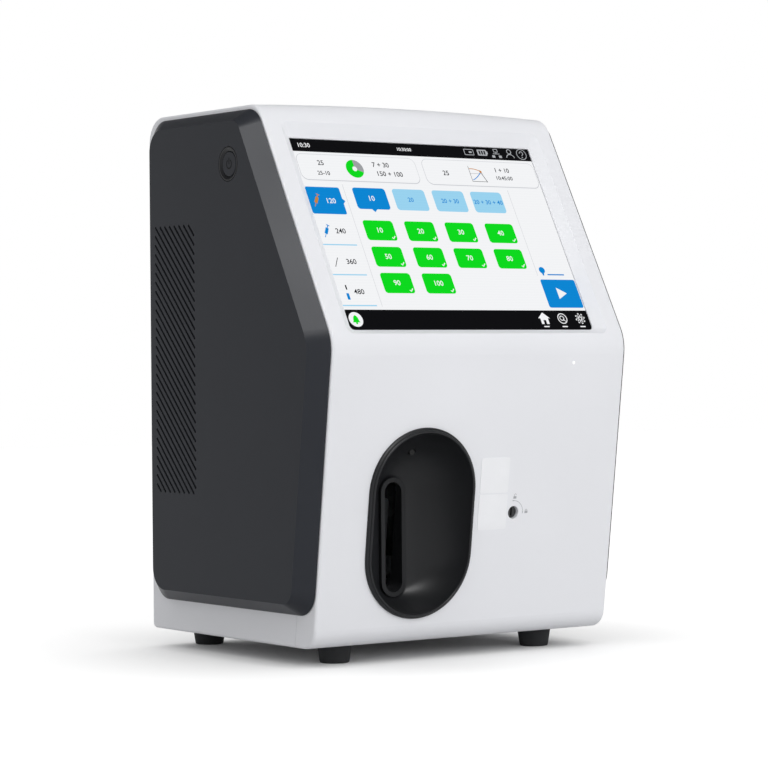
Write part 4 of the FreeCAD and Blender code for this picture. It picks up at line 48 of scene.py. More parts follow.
# The two front faces meet at the bend, and each runs from it by its lean in depth and its rise in height
FRONT_Y = -116.0
BEND_Z = 217.1
LOWER_LEAN = 26.2
LOWER_RISE = 204.1
UPPER_LEAN = 88.3
UPPER_RISE = 161.6

# Screen: the glass lies this far behind the upper face, and the picture's films lie just in front of it
GLASS_SETBACK = 6.3
FILM_STEP = 0.05
SCREEN_HALF_WIDTH = 103.85
SCREEN_FOOT = 11.45
SCREEN_TOP = 161.15
FOOT_BAR_TOP = 27.2
HEAD_BAR_FOOT = 151.1

# Printed marks stand this far proud of what they are printed on
INK_PROUD = 0.04

# Camera, fitted to the photograph's housing edges: its roll is in radians, its lens and sensor in millimetres
CAMERA_PLACE = Vector((-1.1441, -1.5924, 0.2070))
CAMERA_TARGET = Vector((-0.0848, -0.1160, 0.1886))
CAMERA_ROLL = -0.0079
CAMERA_LENS = 129.1
CAMERA_SENSOR = 36.0
CAMERA_REACH = 20.0

# Smoothness of drawn arcs, whole circles and figures
ARC_STEPS = 10
CIRCLE_STEPS = 48
FIGURE_STEPS = 3

# A figure's height and its added weight, as shares of its type size
FIGURE_HEIGHT = 0.7
FIGURE_WEIGHT = 0.012

# Light: the room's strength on surfaces, and for gloss the white walls up to a first height, which fade to
# the dim ceiling's strength at a second; a height here is 0 when level and 1 straight up
ROOM_LIGHT = 0.68
WALL_TOP = 0.16
CEILING_FOOT = 0.34
CEILING_SHEEN = 0.1

# What the paper floor adds towards white, how far in metres round the object that glow is held back to paint
# a shadow there, how finely that is sampled, and how far the floor runs
FLOOR_GLOW = 0.58
SHADE_REACH = 0.16
SHADE_SAMPLES = 8
FLOOR_REACH = 4000.0

# Two soft boxes in front, and on the left a card that only shows as a sheen on the cover's front chamfer
KEY_LIGHT = {"place": (0.0, -2.4, 0.9), "width": 1.4, "height": 1.0, "power": 15.0}
TOP_LIGHT = {"place": (0.1, -1.7, 1.6), "width": 0.9, "height": 0.9, "power": 6.0}
LEFT_CARD = {"place": (-0.87, -1.12, 1.83), "width": 0.8, "height": 0.8, "power": 52.0, "gloss_only": True}


# Flat drawing: a shape is an array of (across, up) points and the faces between them

def strip(left, right):
    """The flat strip between two lines with matching points: each pair of neighbours spans one face."""
    left, right = np.asarray(left, float), np.asarray(right, float)
    count = len(left)
    low = np.arange(count - 1)
    faces = np.stack([low, low + count, low + count + 1, low + 1], axis=1)
    return np.concatenate([left, right]), faces


def tile(x, y, radius=0.0):
    """A rectangle between two spans with round corners: each height's ends lie on the corner arcs."""
    turn = np.linspace(-QUARTER, 0, ARC_STEPS + 1)
    reach = radius * np.cos(turn)
    foot = y[0] + radius + radius * np.sin(turn)
    head = y[1] - radius - radius * np.sin(turn[::-1])
    up = np.concatenate([foot, head])
    out = np.concatenate([reach, reach[::-1]])
    left = np.stack([x[0] + radius - out, up], axis=1)
    right = np.stack([x[1] - radius + out, up], axis=1)
    return strip(left, right)


def box_of(x, y, width, height, radius=0.0):
    """A round-cornered rectangle about a middle point."""
    return tile((x - width / 2, x + width / 2), (y - height / 2, y + height / 2), radius)


def ring(x, y, bore, rim, start=0.0, stop=FULL_CIRCLE):
    """Part of a flat ring: points on two circles about one centre, from one angle to the other."""
    turn = np.linspace(start, stop, CIRCLE_STEPS + 1)
    round_line = np.stack([np.cos(turn), np.sin(turn)], axis=1)
    return strip((x, y) + bore * round_line, (x, y) + rim * round_line)


def disc(x, y, radius):
    """A flat disc: a ring with no bore."""
    return ring(x, y, 0.0, radius)


def stroke(points, width):
    """A line of even width: each point is moved to both sides, square to the way between its neighbours."""
    points = np.asarray(points, float)
    way = np.gradient(points, axis=0)
    way /= np.linalg.norm(way, axis=1, keepdims=True)
    side = np.stack([-way[:, 1], way[:, 0]], axis=1) * width / 2
    return strip(points + side, points - side)


def mirrored(x, heights, half_widths):
    """A shape with equal sides: at each height its half width is laid off to the left and right."""
    heights, half = np.asarray(heights, float), np.asarray(half_widths, float)
    return strip(np.stack([x - half, heights], axis=1), np.stack([x + half, heights], axis=1))


def arrow_head(x, y, length, half_height):
    """A triangle that points to the right: its upright side narrows to one point."""
    return strip([(x, y - half_height), (x, y + half_height)], [(x + length, y), (x + length, y)])


def outline_box(x, y, width, height, line):
    """The outline of a rectangle as four strokes."""
    left, right, foot, head = x - width / 2, x + width / 2, y - height / 2, y + height / 2
    return [stroke([(left, foot), (right, foot)], line), stroke([(left, head), (right, head)], line),
            stroke([(left, foot), (left, head)], line), stroke([(right, foot), (right, head)], line)]


def figures(text, x, y, height):
    """Plain figures, centred on a point: a text curve turned into flat triangles."""
    curve = bpy.data.curves.new("figures", "FONT")
    curve.body = text
    curve.size = height / FIGURE_HEIGHT
    curve.resolution_u = FIGURE_STEPS
    curve.offset = FIGURE_WEIGHT * curve.size
    curve.align_x = "CENTER"
    holder = bpy.data.objects.new("figures", curve)
    mesh = bpy.data.meshes.new_from_object(holder)
    points = np.empty(len(mesh.vertices) * 3)
    mesh.vertices.foreach_get("co", points)
    mesh.calc_loop_triangles()
    faces = np.empty(len(mesh.loop_triangles) * 3, int)
    mesh.loop_triangles.foreach_get("vertices", faces)
    bpy.data.objects.remove(holder)
    bpy.data.meshes.remove(mesh)
    bpy.data.curves.remove(curve)
    return points.reshape(-1, 3)[:, :2] + (x, y - height / 2), faces.reshape(-1, 3)


def leaning_face(lean, rise):
    """A front face through the bend: its origin, and its ways across, up and out."""
    up = np.array([0.0, lean, rise]) / math.hypot(lean, rise)
    return np.array([0.0, FRONT_Y, BEND_Z]), np.array([1.0, 0.0, 0.0]), up, np.array([0.0, -up[2], up[1]])


LOWER_FACE = leaning_face(-LOWER_LEAN, LOWER_RISE)
UPPER_FACE = leaning_face(UPPER_LEAN, UPPER_RISE)


def laid(shapes, face, level):
    """Shapes joined into one set of points and faces, laid on a plane at a level above it."""
    origin, across, up, out = face
    points, faces, start = [], [], 0
    for flat, patch in shapes:
        points.append(flat)
        faces += (patch + start).tolist()
        start += len(flat)
    flat = np.concatenate(points)
    return MM * (origin + flat[:, :1] * across + flat[:, 1:] * up + level * out), faces


def mesh_object(name, points, faces, finish):
    """A mesh object in the scene, with its points in place and its finish."""
    mesh = bpy.data.meshes.new(name)
    mesh.from_pydata(points.tolist(), [], faces)
    mesh.materials.append(finish)
    made = bpy.data.objects.new(name, mesh)
    bpy.context.scene.collection.objects.link(made)
    return made


def piece(name, points, faces, finish, body, slot):
    """A piece of the analyzer: a mesh object and the body it rides on. Its record slot is not used."""
    made = mesh_object(name, points, faces, finish)
    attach(made, body)
    return made


# Materials

# The sRGB curve: a straight part up to its knee, then an offset power
SRGB_KNEE = 0.04045
SRGB_SLOPE = 12.92
SRGB_OFFSET = 0.055
SRGB_POWER = 2.4


def linear(code):
    """An sRGB hex colour as linear values with full cover."""
    values = np.array([int(code[i:i + 2], 16) / 255 for i in (1, 3, 5)])
    low = values / SRGB_SLOPE
    high = ((values + SRGB_OFFSET) / (1 + SRGB_OFFSET)) ** SRGB_POWER
    return (*np.where(values <= SRGB_KNEE, low, high), 1.0)


def per(size):
    """How many patterns of a size in millimetres fit in a metre, which is a texture's scale."""
    return 1 / (size * MM)


def add(tree, kind, inputs=(), **settings):
    """Adds a node, gives it its settings, and sets or links its inputs."""
    node = tree.nodes.new(kind)
    for name, value in settings.items():
        setattr(node, name, value)
    for name, value in dict(inputs).items():
        if isinstance(value, bpy.types.NodeSocket):
            tree.links.new(value, node.inputs[name])
        else:
            node.inputs[name].default_value = value
    return node


def finish_of(name, **values):
    """A new material: its node tree, its shader with the given values, and Object coordinates."""
    material = bpy.data.materials.new(name)
    material.use_nodes = True
    tree = material.node_tree
    tree.nodes.clear()
    sockets = {key.replace("_", " "): value for key, value in values.items()}
    shader = add(tree, "ShaderNodeBsdfPrincipled", sockets)
    add(tree, "ShaderNodeOutputMaterial", {"Surface": shader.outputs["BSDF"]})
    place = add(tree, "ShaderNodeTexCoord").outputs["Object"]
    return material, tree, shader, place


def connect(tree, shader, **sockets):
    """Links pattern outputs to the shader's inputs."""
    for key, socket in sockets.items():
        tree.links.new(socket, shader.inputs[key.replace("_", " ")])


# The Mix node's colour sockets, which share their names with its number sockets
COLOUR_A, COLOUR_B, COLOUR_OUT = 6, 7, 2


def two_tone(tree, share, first, second):
    """A colour between two hex colours by a pattern's value."""
    mix = add(tree, "ShaderNodeMix", {0: share, COLOUR_A: linear(first), COLOUR_B: linear(second)},
              data_type="RGBA")
    return mix.outputs[COLOUR_OUT]


def moulded_abs(name, low, high, roughness, shine=0.5):
    """ABS from a spark-eroded tool: an even matt grain and, over a hand's width, a faint change of tone."""
    material, tree, shader, place = finish_of(name, IOR=1.53, Specular_IOR_Level=shine)
    # The real grain is about 0.15 mm; it is drawn at 0.5 mm so that it shows.
    grain = add(tree, "ShaderNodeTexNoise", {"Vector": place, "Scale": per(0.5), "Detail": 2.0})
    flow = add(tree, "ShaderNodeTexNoise", {"Vector": place, "Scale": per(90), "Detail": 1.0})
    rough = add(tree, "ShaderNodeMapRange",
                {"Value": grain.outputs["Fac"], "To Min": roughness - 0.04, "To Max": roughness + 0.06})
    bump = add(tree, "ShaderNodeBump",
               {"Height": grain.outputs["Fac"], "Strength": 0.08, "Distance": 0.05 * MM})
    connect(tree, shader, Base_Color=two_tone(tree, flow.outputs["Fac"], low, high),
            Roughness=rough.outputs["Result"], Normal=bump.outputs["Normal"])
    return material


def soft_touch_paint(name, low, high, roughness):
    """Soft-touch paint sprayed on a moulding: a dull film whose fine orange peel breaks up its sheen."""
    material, tree, shader, place = finish_of(name, IOR=1.5, Specular_IOR_Level=0.065)
    peel = add(tree, "ShaderNodeTexNoise", {"Vector": place, "Scale": per(1.5), "Detail": 2.0})
    cloud = add(tree, "ShaderNodeTexNoise", {"Vector": place, "Scale": per(60), "Detail": 2.0})
    rough = add(tree, "ShaderNodeMapRange",
                {"Value": cloud.outputs["Fac"], "To Min": roughness - 0.04, "To Max": roughness + 0.05})
    bump = add(tree, "ShaderNodeBump",
               {"Height": peel.outputs["Fac"], "Strength": 0.06, "Distance": 0.08 * MM})
    connect(tree, shader, Base_Color=two_tone(tree, cloud.outputs["Fac"], low, high),
            Roughness=rough.outputs["Result"], Normal=bump.outputs["Normal"])
    return material


def moulded_rubber():
    """Moulded EPDM rubber: dull, faintly mottled, with pale dust in its pores."""
    material, tree, shader, place = finish_of("moulded_epdm_rubber", IOR=1.52)
    pores = add(tree, "ShaderNodeTexVoronoi", {"Vector": place, "Scale": per(0.8)})
    dust = add(tree, "ShaderNodeTexNoise", {"Vector": place, "Scale": per(6), "Detail": 4.0})
    rough = add(tree, "ShaderNodeMapRange", {"Value": dust.outputs["Fac"], "To Min": 0.72, "To Max": 0.92})
    bump = add(tree, "ShaderNodeBump",
               {"Height": pores.outputs["Distance"], "Strength": 0.2, "Distance": 0.1 * MM})
    connect(tree, shader, Base_Color=two_tone(tree, dust.outputs["Fac"], "#161719", "#232427"),
            Roughness=rough.outputs["Result"], Normal=bump.outputs["Normal"])
    return material


def printed_glass():
    """Strengthened soda-lime glass printed black on its back: a deep black with a clear mirror gloss."""
    material, tree, shader, place = finish_of("back_printed_glass", IOR=1.52, Specular_IOR_Level=0.12)
    film = add(tree, "ShaderNodeTexNoise", {"Vector": place, "Scale": per(25), "Detail": 5.0})
    rough = add(tree, "ShaderNodeMapRange", {"Value": film.outputs["Fac"], "To Min": 0.03, "To Max": 0.09})
    connect(tree, shader, Base_Color=two_tone(tree, film.outputs["Fac"], "#0b0b0d", "#121215"),
            Roughness=rough.outputs["Result"])
    return material


def lit_picture(name, code, dim):
    """A lit part of a liquid crystal picture: it glows, with a faint grid of cells and a thin gloss."""
    material, tree, shader, place = finish_of(name, IOR=1.5, Specular_IOR_Level=0.04, Roughness=0.2,
                                              Emission_Strength=0.97)
    shader.inputs["Base Color"].default_value = linear("#08080a")
    # The real cells are about 0.26 mm wide; they are drawn at 1 mm so that the grid shows.
    cells = add(tree, "ShaderNodeTexVoronoi", {"Vector": place, "Scale": per(1.0), "Randomness": 0.0})
    connect(tree, shader, Emission_Color=two_tone(tree, cells.outputs["Distance"], code, dim))
    return material


def circuit_board():
    """FR-4 board under green solder mask: copper tracks show as paler lines about 2.5 mm apart."""
    material, tree, shader, place = finish_of("solder_masked_board", IOR=1.55)
    tracks = add(tree, "ShaderNodeTexBrick", {"Vector": place, "Scale": per(14), "Mortar Size": 0.03,
                                              "Mortar Smooth": 0.1, "Brick Width": 0.9, "Row Height": 0.18})
    rough = add(tree, "ShaderNodeMapRange", {"Value": tracks.outputs["Fac"], "To Min": 0.32, "To Max": 0.22})
    bump = add(tree, "ShaderNodeBump",
               {"Height": tracks.outputs["Fac"], "Strength": 0.4, "Distance": 0.05 * MM})
    connect(tree, shader, Base_Color=two_tone(tree, tracks.outputs["Fac"], "#17512f", "#3a7d4c"),
            Roughness=rough.outputs["Result"], Normal=bump.outputs["Normal"])
    return material


def galvanised_sheet():
    """Hot-dip galvanised steel sheet: flat zinc crystals a few millimetres wide, each with its own tone."""
    material, tree, shader, place = finish_of("galvanised_steel_sheet", Metallic=1.0)
    spangle = add(tree, "ShaderNodeTexVoronoi", {"Vector": place, "Scale": per(5)})
    tone = add(tree, "ShaderNodeSeparateColor", {"Color": spangle.outputs["Color"]}).outputs["Red"]
    rough = add(tree, "ShaderNodeMapRange", {"Value": tone, "To Min": 0.36, "To Max": 0.52})
    connect(tree, shader, Base_Color=two_tone(tree, tone, "#b4b8bc", "#cdd0d3"),
            Roughness=rough.outputs["Result"])
    return material


def ground_steel():
    """Ground stainless steel: fine lines across its length and a bright, slightly streaked shine."""
    material, tree, shader, place = finish_of("ground_stainless_steel", Metallic=1.0)
    drawn_out = add(tree, "ShaderNodeMapping", {"Vector": place, "Scale": (6.0, 1.0, 1.0)})
    lines = add(tree, "ShaderNodeTexNoise",
                {"Vector": drawn_out.outputs["Vector"], "Scale": per(2), "Detail": 3.0})
    rough = add(tree, "ShaderNodeMapRange", {"Value": lines.outputs["Fac"], "To Min": 0.18, "To Max": 0.34})
    connect(tree, shader, Base_Color=two_tone(tree, lines.outputs["Fac"], "#b0b3b6", "#c6c8ca"),
            Roughness=rough.outputs["Result"])
    return material


def zinc_plate():
    """Bright zinc plate on small screws: a cool grey metal with a faint blue and yellow bloom."""
    material, tree, shader, place = finish_of("zinc_plated_steel", Metallic=1.0)
    bloom = add(tree, "ShaderNodeTexNoise", {"Vector": place, "Scale": per(3), "Detail": 3.0})
    rough = add(tree, "ShaderNodeMapRange", {"Value": bloom.outputs["Fac"], "To Min": 0.25, "To Max": 0.42})
    connect(tree, shader, Base_Color=two_tone(tree, bloom.outputs["Fac"], "#9aa0a8", "#b5b2a8"),
            Roughness=rough.outputs["Result"])
    return material


def powder_coat():
    """Black powder coat on steel: a fine pebbled skin, half dull."""
    material, tree, shader, place = finish_of("black_powder_coat", IOR=1.5)
    pebble = add(tree, "ShaderNodeTexNoise", {"Vector": place, "Scale": per(0.8), "Detail": 2.0})
    rough = add(tree, "ShaderNodeMapRange", {"Value": pebble.outputs["Fac"], "To Min": 0.42, "To Max": 0.6})
    bump = add(tree, "ShaderNodeBump",
               {"Height": pebble.outputs["Fac"], "Strength": 0.25, "Distance": 0.1 * MM})
    connect(tree, shader, Base_Color=two_tone(tree, pebble.outputs["Fac"], "#1d1e20", "#2a2b2e"),
            Roughness=rough.outputs["Result"], Normal=bump.outputs["Normal"])
    return material


def rolled_aluminium():
    """Mill-finished aluminium sheet: a soft grey metal with rolling lines along its length."""
    material, tree, shader, place = finish_of("rolled_aluminium", Metallic=1.0)
    drawn_out = add(tree, "ShaderNodeMapping", {"Vector": place, "Scale": (0.1, 1.0, 1.0)})
    lines = add(tree, "ShaderNodeTexNoise",
                {"Vector": drawn_out.outputs["Vector"], "Scale": per(1), "Detail": 3.0})
    rough = add(tree, "ShaderNodeMapRange", {"Value": lines.outputs["Fac"], "To Min": 0.32, "To Max": 0.5})
    connect(tree, shader, Base_Color=two_tone(tree, lines.outputs["Fac"], "#a3a7ab", "#b9bcbf"),
            Roughness=rough.outputs["Result"])
    return material


def natural_acetal():
    """Natural acetal, moulded: milky white with a waxy sheen."""
    material, tree, shader, place = finish_of("natural_acetal", IOR=1.48, Subsurface_Weight=0.1,
                                              Subsurface_Scale=1.0 * MM)
    cloud = add(tree, "ShaderNodeTexNoise", {"Vector": place, "Scale": per(8), "Detail": 2.0})
    rough = add(tree, "ShaderNodeMapRange", {"Value": cloud.outputs["Fac"], "To Min": 0.3, "To Max": 0.42})
    connect(tree, shader, Base_Color=two_tone(tree, cloud.outputs["Fac"], "#e6e2d6", "#f0ede4"),
            Roughness=rough.outputs["Result"])
    return material


def filled_nylon():
    """Glass-filled nylon, moulded: dark grey with short pale fibre flecks at the skin."""
    material, tree, shader, place = finish_of("glass_filled_nylon", IOR=1.53)
    drawn_out = add(tree, "ShaderNodeMapping", {"Vector": place, "Scale": (1.0, 0.3, 1.0)})
    fibre = add(tree, "ShaderNodeTexNoise",
                {"Vector": drawn_out.outputs["Vector"], "Scale": per(0.9), "Detail": 4.0})
    fleck = add(tree, "ShaderNodeMapRange",
                {"Value": fibre.outputs["Fac"], "From Min": 0.55, "From Max": 0.75})
    rough = add(tree, "ShaderNodeMapRange", {"Value": fibre.outputs["Fac"], "To Min": 0.45, "To Max": 0.62})
    connect(tree, shader, Base_Color=two_tone(tree, fleck.outputs["Result"], "#414246", "#5c5d62"),
            Roughness=rough.outputs["Result"])
    return material


def silicone_tube():
    """Extruded silicone tube: cloudy and see-through, with a soft sheen."""
    material, tree, shader, place = finish_of("extruded_silicone", IOR=1.41, Transmission_Weight=0.55)
    haze = add(tree, "ShaderNodeTexNoise", {"Vector": place, "Scale": per(4), "Detail": 2.0})
    rough = add(tree, "ShaderNodeMapRange", {"Value": haze.outputs["Fac"], "To Min": 0.22, "To Max": 0.4})
    connect(tree, shader, Base_Color=two_tone(tree, haze.outputs["Fac"], "#d3d9dc", "#e6eaec"),
            Roughness=rough.outputs["Result"])
    return material


def laminated_label():
    """Blank polyester label under a clear laminate: a shade paler than the housing, with a soft shine."""
    material, tree, shader, place = finish_of("laminated_polyester_label", IOR=1.5, Coat_Weight=0.4,
                                              Coat_Roughness=0.12)
    fibre = add(tree, "ShaderNodeTexNoise", {"Vector": place, "Scale": per(12), "Detail": 6.0})
    rough = add(tree, "ShaderNodeMapRange", {"Value": fibre.outputs["Fac"], "To Min": 0.3, "To Max": 0.42})
    connect(tree, shader, Base_Color=two_tone(tree, fibre.outputs["Fac"], "#ebecef", "#f0f1f4"),
            Roughness=rough.outputs["Result"])
    return material


def light_pipe(name, code, pale, glow):
    """Moulded polycarbonate light pipe: a small lens whose frosting mottles its tone and its glow."""
    material, tree, shader, place = finish_of(name, IOR=1.58, Specular_IOR_Level=0.2, Emission_Strength=glow)
    frost = add(tree, "ShaderNodeTexNoise", {"Vector": place, "Scale": per(0.6), "Detail": 2.0})
    rough = add(tree, "ShaderNodeMapRange", {"Value": frost.outputs["Fac"], "To Min": 0.2, "To Max": 0.38})
    tone = two_tone(tree, frost.outputs["Fac"], code, pale)
    connect(tree, shader, Base_Color=tone, Emission_Color=tone, Roughness=rough.outputs["Result"])
    return material


def clear_acrylic():
    """Polished cast acrylic: clear, faintly grey, with bright edges."""
    material, tree, shader, place = finish_of("polished_cast_acrylic", IOR=1.49, Transmission_Weight=0.8)
    wipe = add(tree, "ShaderNodeTexNoise", {"Vector": place, "Scale": per(30), "Detail": 5.0})
    rough = add(tree, "ShaderNodeMapRange", {"Value": wipe.outputs["Fac"], "To Min": 0.03, "To Max": 0.1})
    connect(tree, shader, Base_Color=two_tone(tree, wipe.outputs["Fac"], "#dfe4e7", "#eef1f3"),
            Roughness=rough.outputs["Result"])
    return material


def moulded_polypropylene():
    """Moulded polypropylene case: milky pale grey with long soft flow marks from its gate."""
    material, tree, shader, place = finish_of("moulded_polypropylene", IOR=1.49)
    drawn_out = add(tree, "ShaderNodeMapping", {"Vector": place, "Scale": (1.0, 1.0, 0.25)})
    flow = add(tree, "ShaderNodeTexNoise",
               {"Vector": drawn_out.outputs["Vector"], "Scale": per(22), "Detail": 3.0})
    rough = add(tree, "ShaderNodeMapRange", {"Value": flow.outputs["Fac"], "To Min": 0.36, "To Max": 0.5})
    connect(tree, shader, Base_Color=two_tone(tree, flow.outputs["Fac"], "#d9dde1", "#e6e9ec"),
            Roughness=rough.outputs["Result"])
    return material


def cream_polymer():
    """Moulded PEEK sensor bodies: warm cream, satin, with tiny dark specks."""
    material, tree, shader, place = finish_of("moulded_cream_polymer", IOR=1.6)
    speck = add(tree, "ShaderNodeTexVoronoi", {"Vector": place, "Scale": per(1.2)})
    fleck = add(tree, "ShaderNodeMapRange",
                {"Value": speck.outputs["Distance"], "From Min": 0.05, "From Max": 0.2})
    rough = add(tree, "ShaderNodeMapRange",
                {"Value": speck.outputs["Distance"], "To Min": 0.4, "To Max": 0.5})
    connect(tree, shader, Base_Color=two_tone(tree, fleck.outputs["Result"], "#cfc6a4", "#e8e2c8"),
            Roughness=rough.outputs["Result"])
    return material


def printing_ink(name, low, high):
    """Screen-printed ink: a thin dull film, slightly uneven from the mesh it was pressed through."""
    material, tree, shader, place = finish_of(name, IOR=1.5, Specular_IOR_Level=0.1)
    film = add(tree, "ShaderNodeTexNoise", {"Vector": place, "Scale": per(0.7), "Detail": 3.0})
    rough = add(tree, "ShaderNodeMapRange", {"Value": film.outputs["Fac"], "To Min": 0.5, "To Max": 0.65})
    connect(tree, shader, Base_Color=two_tone(tree, film.outputs["Fac"], low, high),
            Roughness=rough.outputs["Result"])
    return material


HOUSING = moulded_abs("textured_white_abs", "#e4e5e9", "#eaebef", 0.45, 0.14)
COVER = soft_touch_paint("soft_touch_grey_paint", "#303237", "#34363b", 0.32)
PORT = moulded_abs("moulded_black_abs", "#1c1d1f", "#222326", 0.4, 0.2)
RUBBER = moulded_rubber()
GLASS = printed_glass()
BOARD = circuit_board()
SHEET = galvanised_sheet()
STEEL = ground_steel()
ZINC = zinc_plate()
POWDER = powder_coat()
ALLOY = rolled_aluminium()
ACETAL = natural_acetal()
NYLON = filled_nylon()
SILICONE = silicone_tube()
LABEL = laminated_label()
STATUS_LENS = light_pipe("frosted_white_lens", "#f2f4f5", "#ffffff", 0.25)
BOWL_LENS = light_pipe("frosted_smoke_lens", "#0d0d0e", "#161718", 0.0)
ACRYLIC = clear_acrylic()
CASE = moulded_polypropylene()
SENSOR = cream_polymer()
CONNECTOR = moulded_abs("moulded_black_polyester", "#18191b", "#1f2022", 0.45)
GREY_INK = printing_ink("grey_printing_ink", "#a4a6aa", "#b0b2b6")
DARK_INK = printing_ink("dark_printing_ink", "#060607", "#0b0b0c")

FINISHES = {
    HOUSING: ["front_shell", "main_shell"],
    COVER: ["left_cover", "service_door", "power_button"],
    PORT: ["port_bezel", "button_ring", "sampler_arm"],
    RUBBER: ["feet"],
    GLASS: ["display_glass", "lcd_panel"],
    BOARD: ["display_board", "main_board"],
    SHEET: ["display_frame", "sampler_bracket", "cartridge_tray", "chassis_tray", "chassis_wall",
            "rear_panel", "connector_panel"],
    STEEL: ["sample_needle", "sampler_shaft", "motor_shaft", "lock_body", "latch_bolt", "hinge_pins",
            "pump_shaft"],
    ZINC: ["foot_screws", "display_screws", "cover_screws", "panel_screws", "board_spacers"],
    POWDER: ["sampler_motor", "hinge_brackets", "pump_motor", "valves"],
    ALLOY: ["power_supply"],
    ACETAL: ["sampler_gear", "motor_pinion", "lock_pinion", "switch_plunger", "pump_rotor"],
    NYLON: ["pump_head"],
    SILICONE: ["pump_tube", "fluid_lines"],
    LABEL: ["blank_labels"],
    STATUS_LENS: ["status_lamp"],
    BOWL_LENS: ["port_lamp"],
    ACRYLIC: ["measuring_cell", "valve_block"],
    CASE: ["reagent_cartridge"],
    SENSOR: ["sensors"],
    CONNECTOR: ["lock_core", "bolt_guide", "door_catch", "button_switch", "power_inlet", "data_sockets",
                "fan_frame", "fan_rotor"],
}
for finish, names in FINISHES.items():
    for node in names:
        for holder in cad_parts[node].material_slots:
            holder.material = finish


# Screen picture: plain tiles, signs and figures in films of one colour each. Places run from the middle
# of the bend, across and up the upper face. An arrow head is given by the middle of its upright side, its
# length and half its height; a bar by its middle, width, height and corner.

PICTURE = {
    "black": lit_picture("lit_picture_black", "#09090b", "#070708"),
    "white": lit_picture("lit_picture_white", "#fafbfc", "#f1f2f5"),
    "border": lit_picture("lit_picture_border", "#cfd1d6", "#c6c8cd"),
    "blue": lit_picture("lit_picture_blue", "#048bdb", "#0382ce"),
    "light_blue": lit_picture("lit_picture_light_blue", "#9fd9f5", "#96d0ee"),
    "green": lit_picture("lit_picture_green", "#05e11b", "#05d519"),
    "grey": lit_picture("lit_picture_grey", "#a3a5a8", "#9b9da0"),
    "dark": lit_picture("lit_picture_dark", "#1c1e24", "#181a1f"),
    "pale_grey": lit_picture("lit_picture_pale_grey", "#b4b6ba", "#acaeb2"),
    "orange": lit_picture("lit_picture_orange", "#d08a3c", "#c5813a"),
}

# Value tiles in rows of four, four and two, each with its number and a tick in its right foot corner
TILE_WIDTH = 25.0
TILE_HEIGHT = 15.8
TILE_CORNER = 2.4
TILE_LEFTS = (-65.0, -30.2, 4.5, 39.6)
TILE_FEET = (81.4, 60.6, 40.0)
TILE_COUNTS = (4, 4, 2)
TILE_STEP = 10
NUMBER_SHIFT = (-0.4, 0.3)
NUMBER_HEIGHT = 3.9
TICK_INSET = (2.9, 2.4)

# Tabs above the tiles: the first is chosen and has a pointer below it
TAB_WIDTH = 27.5
TAB_LEFTS = (-64.6, -31.2, 2.9, 36.6)
TAB_FOOT = 106.2
TAB_TOP = 123.3
TAB_TEXTS = ("20", "20 + 30", "20 + 30 + 40")
TAB_TEXT_UP = 114.9
TAB_TEXT_HEIGHT = 3.4
TAB_POINTER_X = -51.0
TAB_POINTER = {"depth": 2.2, "overlap": 0.2, "half_width": 2.4}

# Side column: a chosen tab with a pointer, then signs and numbers over thin lines
SIDE_TAB = ((-103.4, -75.4), (101.4, 122.8))
SIDE_TAB_CORNER = 1.4
SIDE_POINTER = (-75.6, 112.0, 2.2, 2.2)
SIDE_LINE_SPAN = (-103.5, -75.7)
SIDE_LINE_HALF = 0.45
SIDE_LINE_LEVELS = (77.3, 54.0, 30.3)
SYRINGE_ANGLE = 62
ORANGE_SYRINGE = (-97.2, 112.2)
BLUE_SYRINGE = (-97.0, 88.0)
BARE_NEEDLE = (-97.2, 63.6, 8.0, 0.5)
VIAL = (-96.6, 37.2, 2.2, 5.0, 0.5)
VIAL_NECK = (-96.2, 44.2, 1.1, 3.6, 0.3)

# Head cards, the rules left and right of the tiles, and the start button with its arrow and, over it, a pin
CARDS = [((-102.6, -3.3), (128.7, 148.9)), ((3.0, 102.8), (128.5, 148.9))]
CARD_CORNER = 5.0
CARD_BORDER = 0.35
CARD_SHADE = 0.3
RULES = ([(-71.5, 29.5), (-71.5, 125.5)], [(71.7, 55.0), (71.7, 125.5)])
RULE_LINE = 0.3
START_BUTTON = ((72.4, 103.3), (29.4, 52.2))
START_CORNER = 1.6
START_ARROW = (84.0, 41.0, 8.2, 4.6)
PIN_SIGN = (77.2, 59.8)
PIN_WORD = (88.4, 56.2, 15.0, 1.0, 0.4)

# Gauge: its green part runs from straight up round the left to this angle, in radians, below the right
GAUGE = (-56.5, 138.5)
GAUGE_BORE = 1.9
GAUGE_RIM = 7.2
GAUGE_END = 0.38

# Graph: the corner of its axes and their lengths, two curves by span, start, rise and bow, and two lines
GRAPH_X = 43.2
GRAPH_FOOT = 132.0
GRAPH_WIDTH = 13.4
GRAPH_HEIGHT = 12.8
AXIS_LINE = 0.35
CURVE_LINE = 0.6
RISING_CURVE = ((44.0, 53.0), 133.2, 6.8, -3.2)
FALLING_CURVE = ((43.6, 53.4), 142.4, -2.2, 3.4)
CURVE_DOT = (53.0, 140.2, 1.0)
LEVEL_LINE = [(43.4, 138.6), (54.8, 138.6)]
STEEP_LINE = [(52.2, 141.6), (56.4, 131.6)]
STEEP_LINE_WIDTH = 0.5

# Signs in the foot bar, with short bars for words under them, and in the head bar
BELL = (-96.7, 19.6)
BELL_DISC = 5.6
FOOT_SIGN_UP = 20.6
HOUSE_X = 63.6
LOUPE_X = 80.0
GEAR_X = 96.2
WORD_UP = 14.2
WORD_WIDTH = 4.8
WORD_HEIGHT = 0.9
WORD_CORNER = 0.3
HEAD_SIGN_UP = 156.6
CARD_SIGN_X = 48.7
CELL_SIGN_X = 60.5
NET_SIGN = (73.2, 156.4)
PERSON_SIGN = (85.4, 156.8)
QUESTION_X = 96.4

